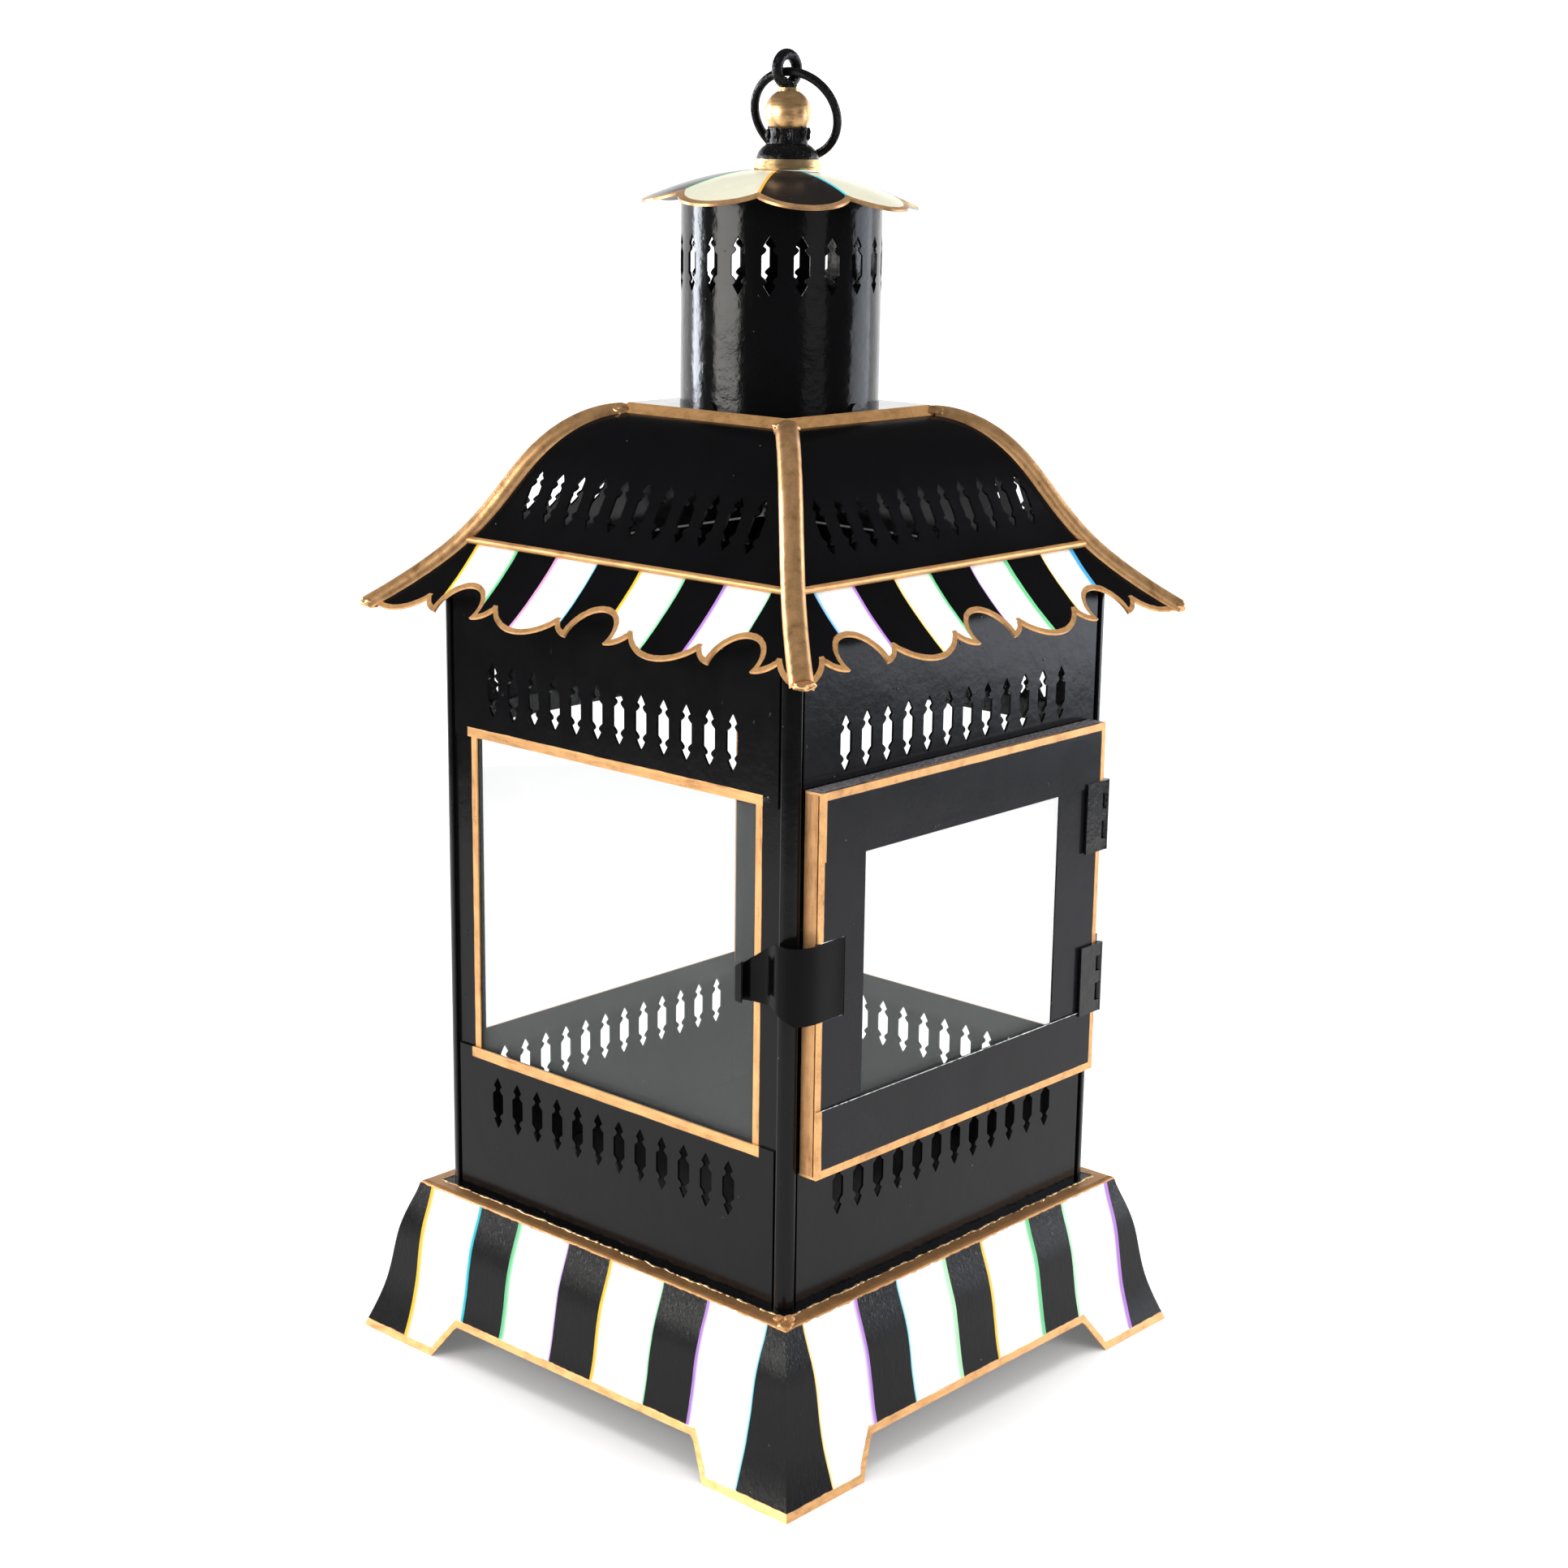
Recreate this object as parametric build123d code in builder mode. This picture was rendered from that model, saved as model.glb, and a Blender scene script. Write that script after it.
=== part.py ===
"""Candle lantern: a square sheet-metal house on a flared, notched skirt.

The walls are pierced panels lapped over four corner posts, with glass on three
sides and a hinged glazed door on the front.  A bell-curved roof with a
scalloped valance carries a round pierced chimney, a petal cap and a ball
finial with an eyelet and a loose carrying ring.

Millimetres.  The origin is the middle of the footprint at the floor, +Z is up,
the door is on the -Y side and its hinges are on the +X side.
"""

import os
from math import cos, radians, sin, sqrt

from build123d import *

# ---- driving dimensions ----
SHEET = 0.9
BASE_HALF = 110.0
LEDGE_Z = 59.5
WALL_HALF = 85.4
POST_HALF = 86.0
PANEL_REACH = 79.6
WINDOW_HALF = 69.0
SILL_Z = 116.0
LINTEL_Z = 234.5
WALL_TOP = 297.3
GLASS = 2.0

SLOT_PITCH = 10.7
SLOTS_PER_WALL = 12
UPPER_SLOT_Z = 253.4
LOWER_SLOT_Z = 97.2

ROOF_POINTS = [
    (38.8, 351.2),
    (50.5, 347.6),
    (60.0, 338.5),
    (71.0, 320.0),
    (81.0, 304.5),
    (90.0, 294.5),
    (101.0, 284.5),
    (107.5, 279.4),
]
ROOF_SLOT_AT = (69.6, 322.3)
ROOF_SLOT_SLOPE = 58.5
ROOF_SLOT_PITCH = 10.8
ROOF_SLOTS = 11
BEAD_AT = (80.55, 305.15)
BEAD_RADIUS = 1.3
RIB_RADIUS = 4.0
RIB_SINK = 1.0
RIB_DRIFT = {"front_left": 1.4}
TOP_PLATE_HALF = 38.0
TOP_PLATE_Z = 354.4
TOP_PLATE_RIM = 3.2
TOP_PLATE_DROP = 3.4

VALANCE_AT = (99.2, 286.1)
VALANCE_SLOPE = 38.7
ARCH_PITCH = 66.7
VALANCE_SHIFT = {"front": -1.8, "right": 0.0, "back": 0.0, "left": 6.6}

CHIMNEY_RADIUS = 35.5
CHIMNEY_TOP = 428.3
CHIMNEY_SLOTS = 20
CHIMNEY_SLOT_Z = 404.0
CAP_RADIUS = 49.3
CAP_CUSP_RADIUS = 42.0
CAP_FIRST_CUSP = -149.0
CAP_SEAT_Z = 435.5
CAP_TILT = 1.2
FINIAL_PLACE = (1.2, -1.3, 0)
EYELET_PLACE = (0.8, -0.9, 0)

BALL_RADIUS = 8.1
BALL_Z = 455.0
EYE_Z = 469.6
EYE_MAJOR = 5.0
EYE_WIRE = 1.95
RING_MAJOR = 15.7
RING_WIRE = 1.55
RING_TOP_Z = 468.75
RING_LEAN = 24.0
RING_AXIS = (0.295, -0.9555)

DOOR_LEFT = -79.5
DOOR_RIGHT = 76.5
DOOR_LOW = 107.8
DOOR_HIGH = 241.0
DOOR_FRONT = 93.5
DOOR_BACK = 86.1
DOOR_SHEET = 0.6
PANE_LEFT = -56.5
PANE_RIGHT = 50.5
PANE_LOW = 132.0
PANE_HIGH = 217.7

LATCH_LOW = 163.2
LATCH_HIGH = 190.0
LATCH_ROOT = -66.4

HINGE_X = 78.5
HINGE_Y = -93.2
HINGE_RADIUS = 1.35
PIN_RADIUS = 0.6
HINGE_LEAF_LEFT = 66.0
HINGE_HEIGHT = 26.4
HINGE_BOTTOMS = {"lower": 130.6, "upper": 193.0}

WALLS = {"front": 0, "right": 90, "back": 180, "left": 270}
CORNERS = {"front_left": 0, "front_right": 90, "back_right": 180, "back_left": 270}

SLOT_POINTS = [
    (0.0, 10.0),
    (1.25, 8.1),
    (2.2, 6.5),
    (1.6, 6.1),
    (1.15, 5.6),
    (1.15, 5.0),
    (1.7, 4.3),
    (2.8, 3.4),
    (2.8, -3.4),
    (1.7, -4.3),
    (1.15, -5.0),
    (1.15, -5.6),
    (1.6, -6.1),
    (2.2, -6.5),
    (1.25, -8.1),
    (0.0, -10.0),
    (-1.25, -8.1),
    (-2.2, -6.5),
    (-1.6, -6.1),
    (-1.15, -5.6),
    (-1.15, -5.0),
    (-1.7, -4.3),
    (-2.8, -3.4),
    (-2.8, 3.4),
    (-1.7, 4.3),
    (-1.15, 5.0),
    (-1.15, 5.6),
    (-1.6, 6.1),
    (-2.2, 6.5),
    (-1.25, 8.1),
]


def directions(angle):
    """Outward and along directions of the wall turned by an angle from the front."""
    turn = radians(angle)
    outward = Vector(sin(turn), -cos(turn), 0)
    along = Vector(cos(turn), sin(turn), 0)
    return outward, along


def wall_plane(angle, distance):
    """Plane of a wall: local x along the wall, local y up, normal outward."""
    outward, along = directions(angle)
    return Plane(origin=outward * distance, x_dir=along, z_dir=outward)


def slope_plane(angle, distance, height, slope):
    """Plane tangent to a roof slope: local x along the wall, local y up the slope."""
    outward, along = directions(angle)
    down = radians(slope)
    normal = outward * sin(down) + Vector(0, 0, cos(down))
    return Plane(origin=outward * distance + Vector(0, 0, height), x_dir=along, z_dir=normal)


def section_plane(angle):
    """Upright plane across a wall: local x outward from the middle, local y up."""
    outward, along = directions(angle)
    return Plane(origin=(0, 0, 0), x_dir=outward, z_dir=along * -1)


def turned_plane(angle, height):
    """Level plane at a height, turned about the vertical axis."""
    return Plane.XY.offset(height).rotated((0, 0, angle))


def sheet_section(points, thickness, side):
    """Draw a smooth curve, the same curve one thickness to a side, and the ends."""
    face = Spline(*points)
    steps = 3 * len(points)
    moved = []
    for step in range(steps + 1):
        here = face @ (step / steps)
        heading = face % (step / steps)
        moved.append((here.X + side * heading.Y * thickness, here.Y - side * heading.X * thickness))
    back = Spline(*moved)
    Line(face @ 0, back @ 0)
    Line(face @ 1, back @ 1)


def keep_mitre(angle, inset=0.0):
    """Keep only the quarter of the current part that belongs to one wall."""
    outward, along = directions(angle)
    tip = outward * inset
    left = outward * (inset + 200) - along * 200
    right = outward * (inset + 200) + along * 200
    with BuildSketch(Plane.XY.offset(-20)) as quarter:
        with BuildLine():
            Polyline((tip.X, tip.Y), (left.X, left.Y), (right.X, right.Y), close=True)
        make_face()
    extrude(quarter.sketch, amount=600, mode=Mode.INTERSECT)


def save(piece, label, place=(0, 0, 0)):
    """Name a finished piece, move it to its place and write its STEP file."""
    solid = piece.part.moved(Location(place))
    solid.label = label
    export_step(solid, f"parts/{label}.step")


# ---- skirt and floor ----
def build_skirt_panel(side, angle):
    """Ogee base panel, mitred at both ends, with a wide notch between its feet."""
    with BuildPart() as panel:
        with BuildSketch(section_plane(angle)):
            with BuildLine():
                sheet_section(
                    [
                        (BASE_HALF, 0.0),
                        (106.5, 9.5),
                        (103.6, 19.5),
                        (101.8, 29.5),
                        (100.0, 40.0),
                        (96.9, 50.0),
                        (94.6, 56.5),
                        (94.3, LEDGE_Z - 1.9),
                    ],
                    SHEET,
                    -1,
                )
            make_face()
            with BuildLine():
                bend = (94.3, LEDGE_Z - 2.0)
                ThreePointArc(bend, (93.7, LEDGE_Z - 0.6), (92.3, LEDGE_Z))
                Polyline(
                    (92.3, LEDGE_Z),
                    (78.0, LEDGE_Z),
                    (78.0, LEDGE_Z - SHEET),
                    (93.0, LEDGE_Z - SHEET),
                    (93.5, LEDGE_Z - 2.2),
                    bend,
                )
            make_face()
        extrude(amount=125, both=True)
        keep_mitre(angle)
        with BuildSketch(Plane.XY.offset(-3)):
            Rectangle(240, 240)
        extrude(amount=3, mode=Mode.SUBTRACT)
        with BuildSketch(wall_plane(angle, 90)):
            with BuildLine():
                Polyline(
                    (-71.2, -1.0),
                    (-70.7, 0.0),
                    (-62.6, 11.6),
                    (-61.0, 13.0),
                    (61.0, 13.0),
                    (62.6, 11.6),
                    (70.7, 0.0),
                    (71.2, -1.0),
                    close=True,
                )
            make_face()
        extrude(amount=30, mode=Mode.SUBTRACT)
    save(panel, f"skirt_panel_{side}")


def build_floor_plate():
    """Flat square floor that closes the skirt inside the walls."""
    inner = WALL_HALF - 2 * SHEET
    with BuildPart() as plate:
        with BuildSketch(Plane.XY.offset(LEDGE_Z)):
            Rectangle(2 * inner, 2 * inner)
        extrude(amount=SHEET)
    save(plate, "floor_plate")


# ---- walls ----
def build_corner_post(corner, angle):
    """Angle post: two flat legs that frame the windows and a proud rounded bead."""
    leg_out = WALL_HALF - SHEET
    leg_in = WALL_HALF - 2 * SHEET
    bead_in = 81.0
    centre = 81.6
    with BuildPart() as post:
        with BuildSketch(turned_plane(angle, LEDGE_Z)):
            with BuildLine():
                Polyline(
                    (-centre, -POST_HALF),
                    (-bead_in - 0.1, -POST_HALF + 0.15),
                    (-bead_in, -POST_HALF + 0.5),
                    (-bead_in, -leg_out),
                    (-WINDOW_HALF, -leg_out),
                    (-WINDOW_HALF, -leg_in),
                    (-leg_in, -leg_in),
                    (-leg_in, -WINDOW_HALF),
                    (-leg_out, -WINDOW_HALF),
                    (-leg_out, -bead_in),
                    (-POST_HALF + 0.5, -bead_in),
                    (-POST_HALF + 0.15, -bead_in - 0.1),
                    (-POST_HALF, -centre),
                )
                RadiusArc((-POST_HALF, -centre), (-centre, -POST_HALF), -(POST_HALF - centre))
            make_face()
        extrude(amount=WALL_TOP - LEDGE_Z)
    save(post, f"corner_post_{corner}")


def build_wall_panel(label, angle, low, high, slot_z):
    """Flat panel lapped over the post legs, with one row of pierced slots."""
    first = -SLOT_PITCH * (SLOTS_PER_WALL - 1) / 2
    places = [(first + SLOT_PITCH * i, slot_z) for i in range(SLOTS_PER_WALL)]
    with BuildPart() as panel:
        with BuildSketch(wall_plane(angle, WALL_HALF - SHEET)):
            with Locations((0, (low + high) / 2)):
                Rectangle(2 * PANEL_REACH, high - low)
            with Locations(*places):
                Polygon(*SLOT_POINTS, align=None, mode=Mode.SUBTRACT)
        extrude(amount=SHEET)
    save(panel, label)


def build_window_pane(side, angle):
    """Window glass behind the post legs."""
    back = WALL_HALF - 2 * SHEET - GLASS
    low = SILL_Z - 8
    high = LINTEL_Z + 8
    with BuildPart() as pane:
        with BuildSketch(wall_plane(angle, back)):
            with Locations((0, (low + high) / 2)):
                Rectangle(154, high - low)
        extrude(amount=GLASS)
    save(pane, f"window_pane_{side}")


# ---- roof ----
def build_roof_core():
    """Solid under the outer roof faces, used only to trim what sits on them."""
    half = [(r, z) for r, z in ROOF_POINTS]
    with BuildPart() as core:
        with BuildSketch(section_plane(0)):
            with BuildLine():
                right = Spline(*half)
                left = Spline(*[(-r, z) for r, z in half])
                Line(right @ 0, left @ 0)
                Polyline(right @ 1, (half[-1][0], 200), (-half[-1][0], 200), left @ 1)
            make_face()
        extrude(amount=150, both=True)
        with BuildSketch(section_plane(90)):
            with BuildLine():
                right = Spline(*half)
                left = Spline(*[(-r, z) for r, z in half])
                Line(right @ 0, left @ 0)
                Polyline(right @ 1, (half[-1][0], 200), (-half[-1][0], 200), left @ 1)
            make_face()
        extrude(amount=150, both=True, mode=Mode.INTERSECT)
    return core.part


def draw_scallop_cut(shift):
    """Draw the region below the scalloped edge: arches, teeth and round lobes."""
    with BuildLine() as outline:
        edge = []
        for arch in range(-2, 3):
            mid = arch * ARCH_PITCH + shift
            edge.append((mid - 17.5, 0.0))
            ThreePointArc((mid - 17.5, 0.0), (mid - 14.6, -3.3), (mid - 9.2, -5.0))
            ThreePointArc((mid - 9.2, -5.0), (mid, 8.0), (mid + 9.2, -5.0))
            ThreePointArc((mid + 9.2, -5.0), (mid + 14.6, -3.3), (mid + 17.5, 0.0))
            lobe_end = mid + ARCH_PITCH - 17.5
            ThreePointArc((mid + 17.5, 0.0), (mid + ARCH_PITCH / 2, -7.6), (lobe_end, 0.0))
        last = (2 * ARCH_PITCH + shift + ARCH_PITCH - 17.5, 0.0)
        Polyline(edge[0], (edge[0][0], -30), (last[0], -30), last)
    make_face(outline.edges())


def build_roof_panel(side, angle, block):
    """Bell-curved roof panel with a slot row and a scalloped edge, up to the roof plate."""
    first = -ROOF_SLOT_PITCH * (ROOF_SLOTS - 1) / 2
    places = [(first + ROOF_SLOT_PITCH * i, 0) for i in range(ROOF_SLOTS)]
    with BuildPart() as panel:
        with BuildSketch(section_plane(angle)):
            with BuildLine():
                sheet_section(ROOF_POINTS, SHEET, 1)
            make_face()
        extrude(amount=125, both=True)
        keep_mitre(angle)
        with BuildSketch(slope_plane(angle, *VALANCE_AT, VALANCE_SLOPE)):
            draw_scallop_cut(VALANCE_SHIFT[side])
        extrude(amount=7, both=True, mode=Mode.SUBTRACT)
        with BuildSketch(slope_plane(angle, *ROOF_SLOT_AT, ROOF_SLOT_SLOPE)):
            with Locations(*places):
                Polygon(*SLOT_POINTS, align=None)
        extrude(amount=6, both=True, mode=Mode.SUBTRACT)
        add(block, mode=Mode.SUBTRACT)
    save(panel, f"roof_panel_{side}")


def build_hip_rib(corner, angle, core, block):
    """Rounded rib over the mitred hip between two roof panels, up to the roof plate."""
    outward, along = directions(angle)
    diagonal = (outward - along) * (1 / sqrt(2))
    across = diagonal.cross(Vector(0, 0, 1))
    points = []
    for reach, height in [(39.8, 351.3), *ROOF_POINTS[1:-1], (104.3, 281.8)]:
        low_part = max(0.0, (reach - 75.0) / 29.3)
        sideways = -RIB_DRIFT.get(corner, 0.0) * low_part * low_part
        level = diagonal * (sqrt(2) * (reach - RIB_SINK / 2)) + across * sideways
        points.append(level + Vector(0, 0, height - RIB_SINK))
    with BuildPart() as rib:
        with BuildLine() as path:
            Spline(*points)
        with BuildSketch(Plane(origin=path.line @ 0, z_dir=path.line % 0)):
            Circle(RIB_RADIUS)
        sweep()
        add(core, mode=Mode.SUBTRACT)
        add(block, mode=Mode.SUBTRACT)
    save(rib, f"hip_rib_{corner}")
    return rib.part


def build_trim_bead(side, angle, core, ribs):
    """Thin half-round bead across a roof panel above the valance, between two ribs."""
    with BuildPart() as bead:
        with BuildSketch(section_plane(angle)):
            with Locations(BEAD_AT):
                Circle(BEAD_RADIUS)
        extrude(amount=125, both=True)
        keep_mitre(angle, 4.0)
        add(core, mode=Mode.SUBTRACT)
        for rib in ribs:
            add(rib, mode=Mode.SUBTRACT)
    save(bead, f"trim_bead_{side}")


def build_plate_block():
    """Solid under the outer faces of the roof plate, used to trim the ribs."""
    with BuildPart() as block:
        with BuildSketch(Plane.XY.offset(TOP_PLATE_Z - TOP_PLATE_DROP)) as low:
            Rectangle(2 * (TOP_PLATE_HALF + TOP_PLATE_RIM), 2 * (TOP_PLATE_HALF + TOP_PLATE_RIM))
        with BuildSketch(Plane.XY.offset(TOP_PLATE_Z)) as high:
            Rectangle(2 * TOP_PLATE_HALF, 2 * TOP_PLATE_HALF)
        loft([low.sketch, high.sketch])
    return block.part


def build_top_plate(block):
    """Square plate on the roof with a sloping rim and a draught hole."""
    with BuildPart() as plate:
        add(block)
        with BuildSketch(Plane.XY.offset(TOP_PLATE_Z - TOP_PLATE_DROP)) as low:
            inner = TOP_PLATE_HALF + TOP_PLATE_RIM - 1.2
            Rectangle(2 * inner, 2 * inner)
        with BuildSketch(Plane.XY.offset(TOP_PLATE_Z - SHEET)) as high:
            Rectangle(2 * (TOP_PLATE_HALF - 0.35), 2 * (TOP_PLATE_HALF - 0.35))
        loft([low.sketch, high.sketch], mode=Mode.SUBTRACT)
        with BuildSketch(Plane.XY.offset(TOP_PLATE_Z - 3)) as hole:
            Circle(33.0)
        extrude(hole.sketch, amount=4, mode=Mode.SUBTRACT)
    save(plate, "roof_top_plate")


# ---- chimney and cap ----
def build_chimney():
    """Round pierced tube."""
    with BuildPart() as tube:
        with BuildSketch(Plane.XY.offset(TOP_PLATE_Z)):
            Circle(CHIMNEY_RADIUS)
            Circle(CHIMNEY_RADIUS - SHEET, mode=Mode.SUBTRACT)
        extrude(amount=CHIMNEY_TOP - TOP_PLATE_Z)
        for i in range(CHIMNEY_SLOTS):
            with BuildSketch(wall_plane(i * 360 / CHIMNEY_SLOTS, 30)):
                with Locations((0, CHIMNEY_SLOT_Z)):
                    Polygon(*SLOT_POINTS, align=None)
            extrude(amount=10, mode=Mode.SUBTRACT)
    save(tube, "chimney")


def build_chimney_tabs():
    """Four small half-round tabs that hold the chimney foot to the plate."""
    with BuildPart() as tabs:
        for angle in WALLS.values():
            with BuildSketch(wall_plane(angle, CHIMNEY_RADIUS - 0.1)):
                with Locations((0, TOP_PLATE_Z)):
                    Circle(2.6)
                with Locations((0, TOP_PLATE_Z - 3)):
                    Rectangle(8, 6, mode=Mode.SUBTRACT)
            extrude(amount=1.2)
        with BuildSketch(Plane.XY.offset(TOP_PLATE_Z)):
            Circle(CHIMNEY_RADIUS)
        extrude(amount=6, mode=Mode.SUBTRACT)
    save(tabs, "chimney_tabs")


def build_cap():
    """Shallow domed cap cut into eight round petals."""
    with BuildPart() as cap:
        with BuildSketch(Plane.XZ):
            with BuildLine():
                sheet_section(
                    [
                        (12.0, CAP_SEAT_Z),
                        (22.0, 433.9),
                        (32.0, 431.2),
                        (41.0, 427.9),
                        (51.0, 423.4),
                    ],
                    0.8,
                    1,
                )
            make_face()
        revolve(axis=Axis.Z)
        with BuildSketch(Plane.XY.offset(CAP_SEAT_Z - 0.8)):
            Circle(12.2)
        extrude(amount=0.8)
        with BuildSketch(Plane.XY.offset(415)):
            with BuildLine():
                for i in range(8):
                    start = radians(CAP_FIRST_CUSP + 45 * i)
                    middle = radians(CAP_FIRST_CUSP + 45 * i + 22.5)
                    end = radians(CAP_FIRST_CUSP + 45 * (i + 1))
                    ThreePointArc(
                        (CAP_CUSP_RADIUS * cos(start), CAP_CUSP_RADIUS * sin(start)),
                        (CAP_RADIUS * cos(middle), CAP_RADIUS * sin(middle)),
                        (CAP_CUSP_RADIUS * cos(end), CAP_CUSP_RADIUS * sin(end)),
                    )
            make_face()
        extrude(amount=30, mode=Mode.INTERSECT)
    sight = Vector(0.741, 0.671, 0)
    edge = sight.cross(Vector(0, 0, 1)) * -12 + Vector(0, 0, CAP_SEAT_Z)
    cap.part = cap.part.rotate(Axis(edge, sight), CAP_TILT)
    save(cap, "cap")


# ---- finial ----
def build_turned(label, outline, ball_cut=False):
    """Turned finial piece from its half outline, with an optional ball seat."""
    with BuildPart() as piece:
        with BuildSketch(Plane.XZ):
            with BuildLine():
                Polyline(*outline, close=True)
            make_face()
        revolve(axis=Axis.Z)
        if ball_cut:
            with Locations((0, 0, BALL_Z)):
                Sphere(BALL_RADIUS, mode=Mode.SUBTRACT)
    save(piece, label, FINIAL_PLACE)


def build_finial_dome():
    """Rounded dome between the collar and the neck."""
    with BuildPart() as dome:
        with BuildSketch(Plane.XZ):
            with BuildLine():
                Polyline((11.0, 439.2), (0, 439.2), (0, 444.4), (7.1, 444.4))
                ThreePointArc((7.1, 444.4), (9.9, 442.2), (11.0, 439.2))
            make_face()
        revolve(axis=Axis.Z)
    save(dome, "finial_dome", FINIAL_PLACE)


def build_finial_ball():
    """Round ball on the neck."""
    with BuildPart() as ball:
        with Locations((0, 0, BALL_Z)):
            Sphere(BALL_RADIUS)
    save(ball, "finial_ball", FINIAL_PLACE)


def build_eyelet():
    """Upright wire loop on a small foot."""
    foot_z = 463.4
    with BuildPart() as eye:
        with BuildSketch(Plane.XY.offset(EYE_Z)):
            with Locations((EYE_MAJOR, 0)):
                Circle(EYE_WIRE)
        revolve(axis=Axis((0, 0, EYE_Z), (0, 1, 0)))
        with BuildSketch(Plane.XY.offset(foot_z - 3)):
            Rectangle(30, 30)
        extrude(amount=3, mode=Mode.SUBTRACT)
        with BuildSketch(Plane.XY.offset(foot_z)):
            Circle(2.7)
        extrude(amount=2.0)
    save(eye, "eyelet", EYELET_PLACE)


def build_ring():
    """Loose carrying ring threaded through the eyelet, leaning on the finial."""
    axis_dir = Vector(RING_AXIS[0], RING_AXIS[1], 0)
    lean_dir = Vector(-RING_AXIS[1], RING_AXIS[0], 0)
    tilt = radians(RING_LEAN)
    hang = lean_dir * sin(tilt) - Vector(0, 0, cos(tilt))
    centre = Vector(0, 0, RING_TOP_Z) + hang * RING_MAJOR
    normal = axis_dir.cross(hang)
    with BuildPart() as ring:
        with BuildSketch(Plane(origin=centre, x_dir=hang, z_dir=axis_dir)):
            with Locations((RING_MAJOR, 0)):
                Circle(RING_WIRE)
        revolve(axis=Axis(centre, normal))
    save(ring, "ring", FINIAL_PLACE)


# ---- door ----
def build_door_rail(label, low, high):
    """Front strip across the door, lapped over the stiles."""
    with BuildPart() as rail:
        with BuildSketch(wall_plane(0, DOOR_FRONT - DOOR_SHEET)):
            with Locations(((DOOR_LEFT + DOOR_RIGHT) / 2, (low + high) / 2)):
                Rectangle(DOOR_RIGHT - DOOR_LEFT, high - low)
        extrude(amount=DOOR_SHEET)
    save(rail, label)


def build_door_stile(label, left, right, latch_cut):
    """Upright strip of the door, behind the rails at its ends."""
    with BuildPart() as stile:
        with BuildSketch(wall_plane(0, DOOR_FRONT - 2 * DOOR_SHEET)):
            with Locations(((left + right) / 2, (DOOR_LOW + DOOR_HIGH) / 2)):
                Rectangle(right - left, DOOR_HIGH - DOOR_LOW)
            if latch_cut:
                cut_right = LATCH_ROOT + 0.3
                mid_z = (LATCH_LOW + LATCH_HIGH) / 2
                with Locations(((left - 1 + cut_right) / 2, mid_z)):
                    Rectangle(
                        cut_right - left + 1,
                        LATCH_HIGH - LATCH_LOW + 0.6,
                        mode=Mode.SUBTRACT,
                    )
        extrude(amount=DOOR_SHEET)
    save(stile, label)


def draw_case_section(outer, sign):
    """Draw a door side strip in plan: flat, with a small step behind its front edge."""
    back = -DOOR_BACK
    front = -(DOOR_FRONT - 2 * DOOR_SHEET)
    with BuildLine() as outline:
        Polyline(
            (outer, back),
            (outer, front + 0.5),
            (outer + sign * 0.7, front + 0.5),
            (outer + sign * 0.7, front),
            (outer + sign * 1.4, front),
            (outer + sign * 1.4, front + 1.2),
            (outer + sign * SHEET, front + 1.7),
            (outer + sign * SHEET, back),
            close=True,
        )
    make_face(outline.edges())


def build_door_case_side(label, outer, sign, latch_cut):
    """Upright side strip of the door's shallow case."""
    with BuildPart() as strip:
        with BuildSketch(Plane.XY.offset(DOOR_LOW + SHEET)):
            draw_case_section(outer, sign)
        extrude(amount=DOOR_HIGH - DOOR_LOW - 2 * SHEET)
        if latch_cut:
            with BuildSketch(wall_plane(0, DOOR_FRONT - 2 * DOOR_SHEET - 0.9)):
                with Locations((outer, (LATCH_LOW + LATCH_HIGH) / 2)):
                    Rectangle(6, LATCH_HIGH - LATCH_LOW + 0.6)
            extrude(amount=3, mode=Mode.SUBTRACT)
    save(strip, label)


def build_door_case_level(label, outer, sign):
    """Level strip of the door's shallow case, top or bottom."""
    depth = DOOR_FRONT - 2 * DOOR_SHEET - DOOR_BACK
    width = DOOR_RIGHT - DOOR_LEFT
    middle = (DOOR_LEFT + DOOR_RIGHT) / 2
    with BuildPart() as strip:
        with BuildSketch(wall_plane(0, DOOR_BACK)):
            with Locations((middle, outer + sign * SHEET / 2)):
                Rectangle(width, SHEET)
        extrude(amount=depth)
    save(strip, label)


def build_door_pane():
    """Door glass behind the stiles and rails."""
    left = PANE_LEFT - 5
    right = PANE_RIGHT + 5
    low = PANE_LOW - 5
    high = PANE_HIGH + 5
    with BuildPart() as pane:
        with BuildSketch(wall_plane(0, DOOR_FRONT - 2 * DOOR_SHEET - GLASS)):
            with Locations(((left + right) / 2, (low + high) / 2)):
                Rectangle(right - left, high - low)
        extrude(amount=GLASS)
    save(pane, "door_pane")


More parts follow.
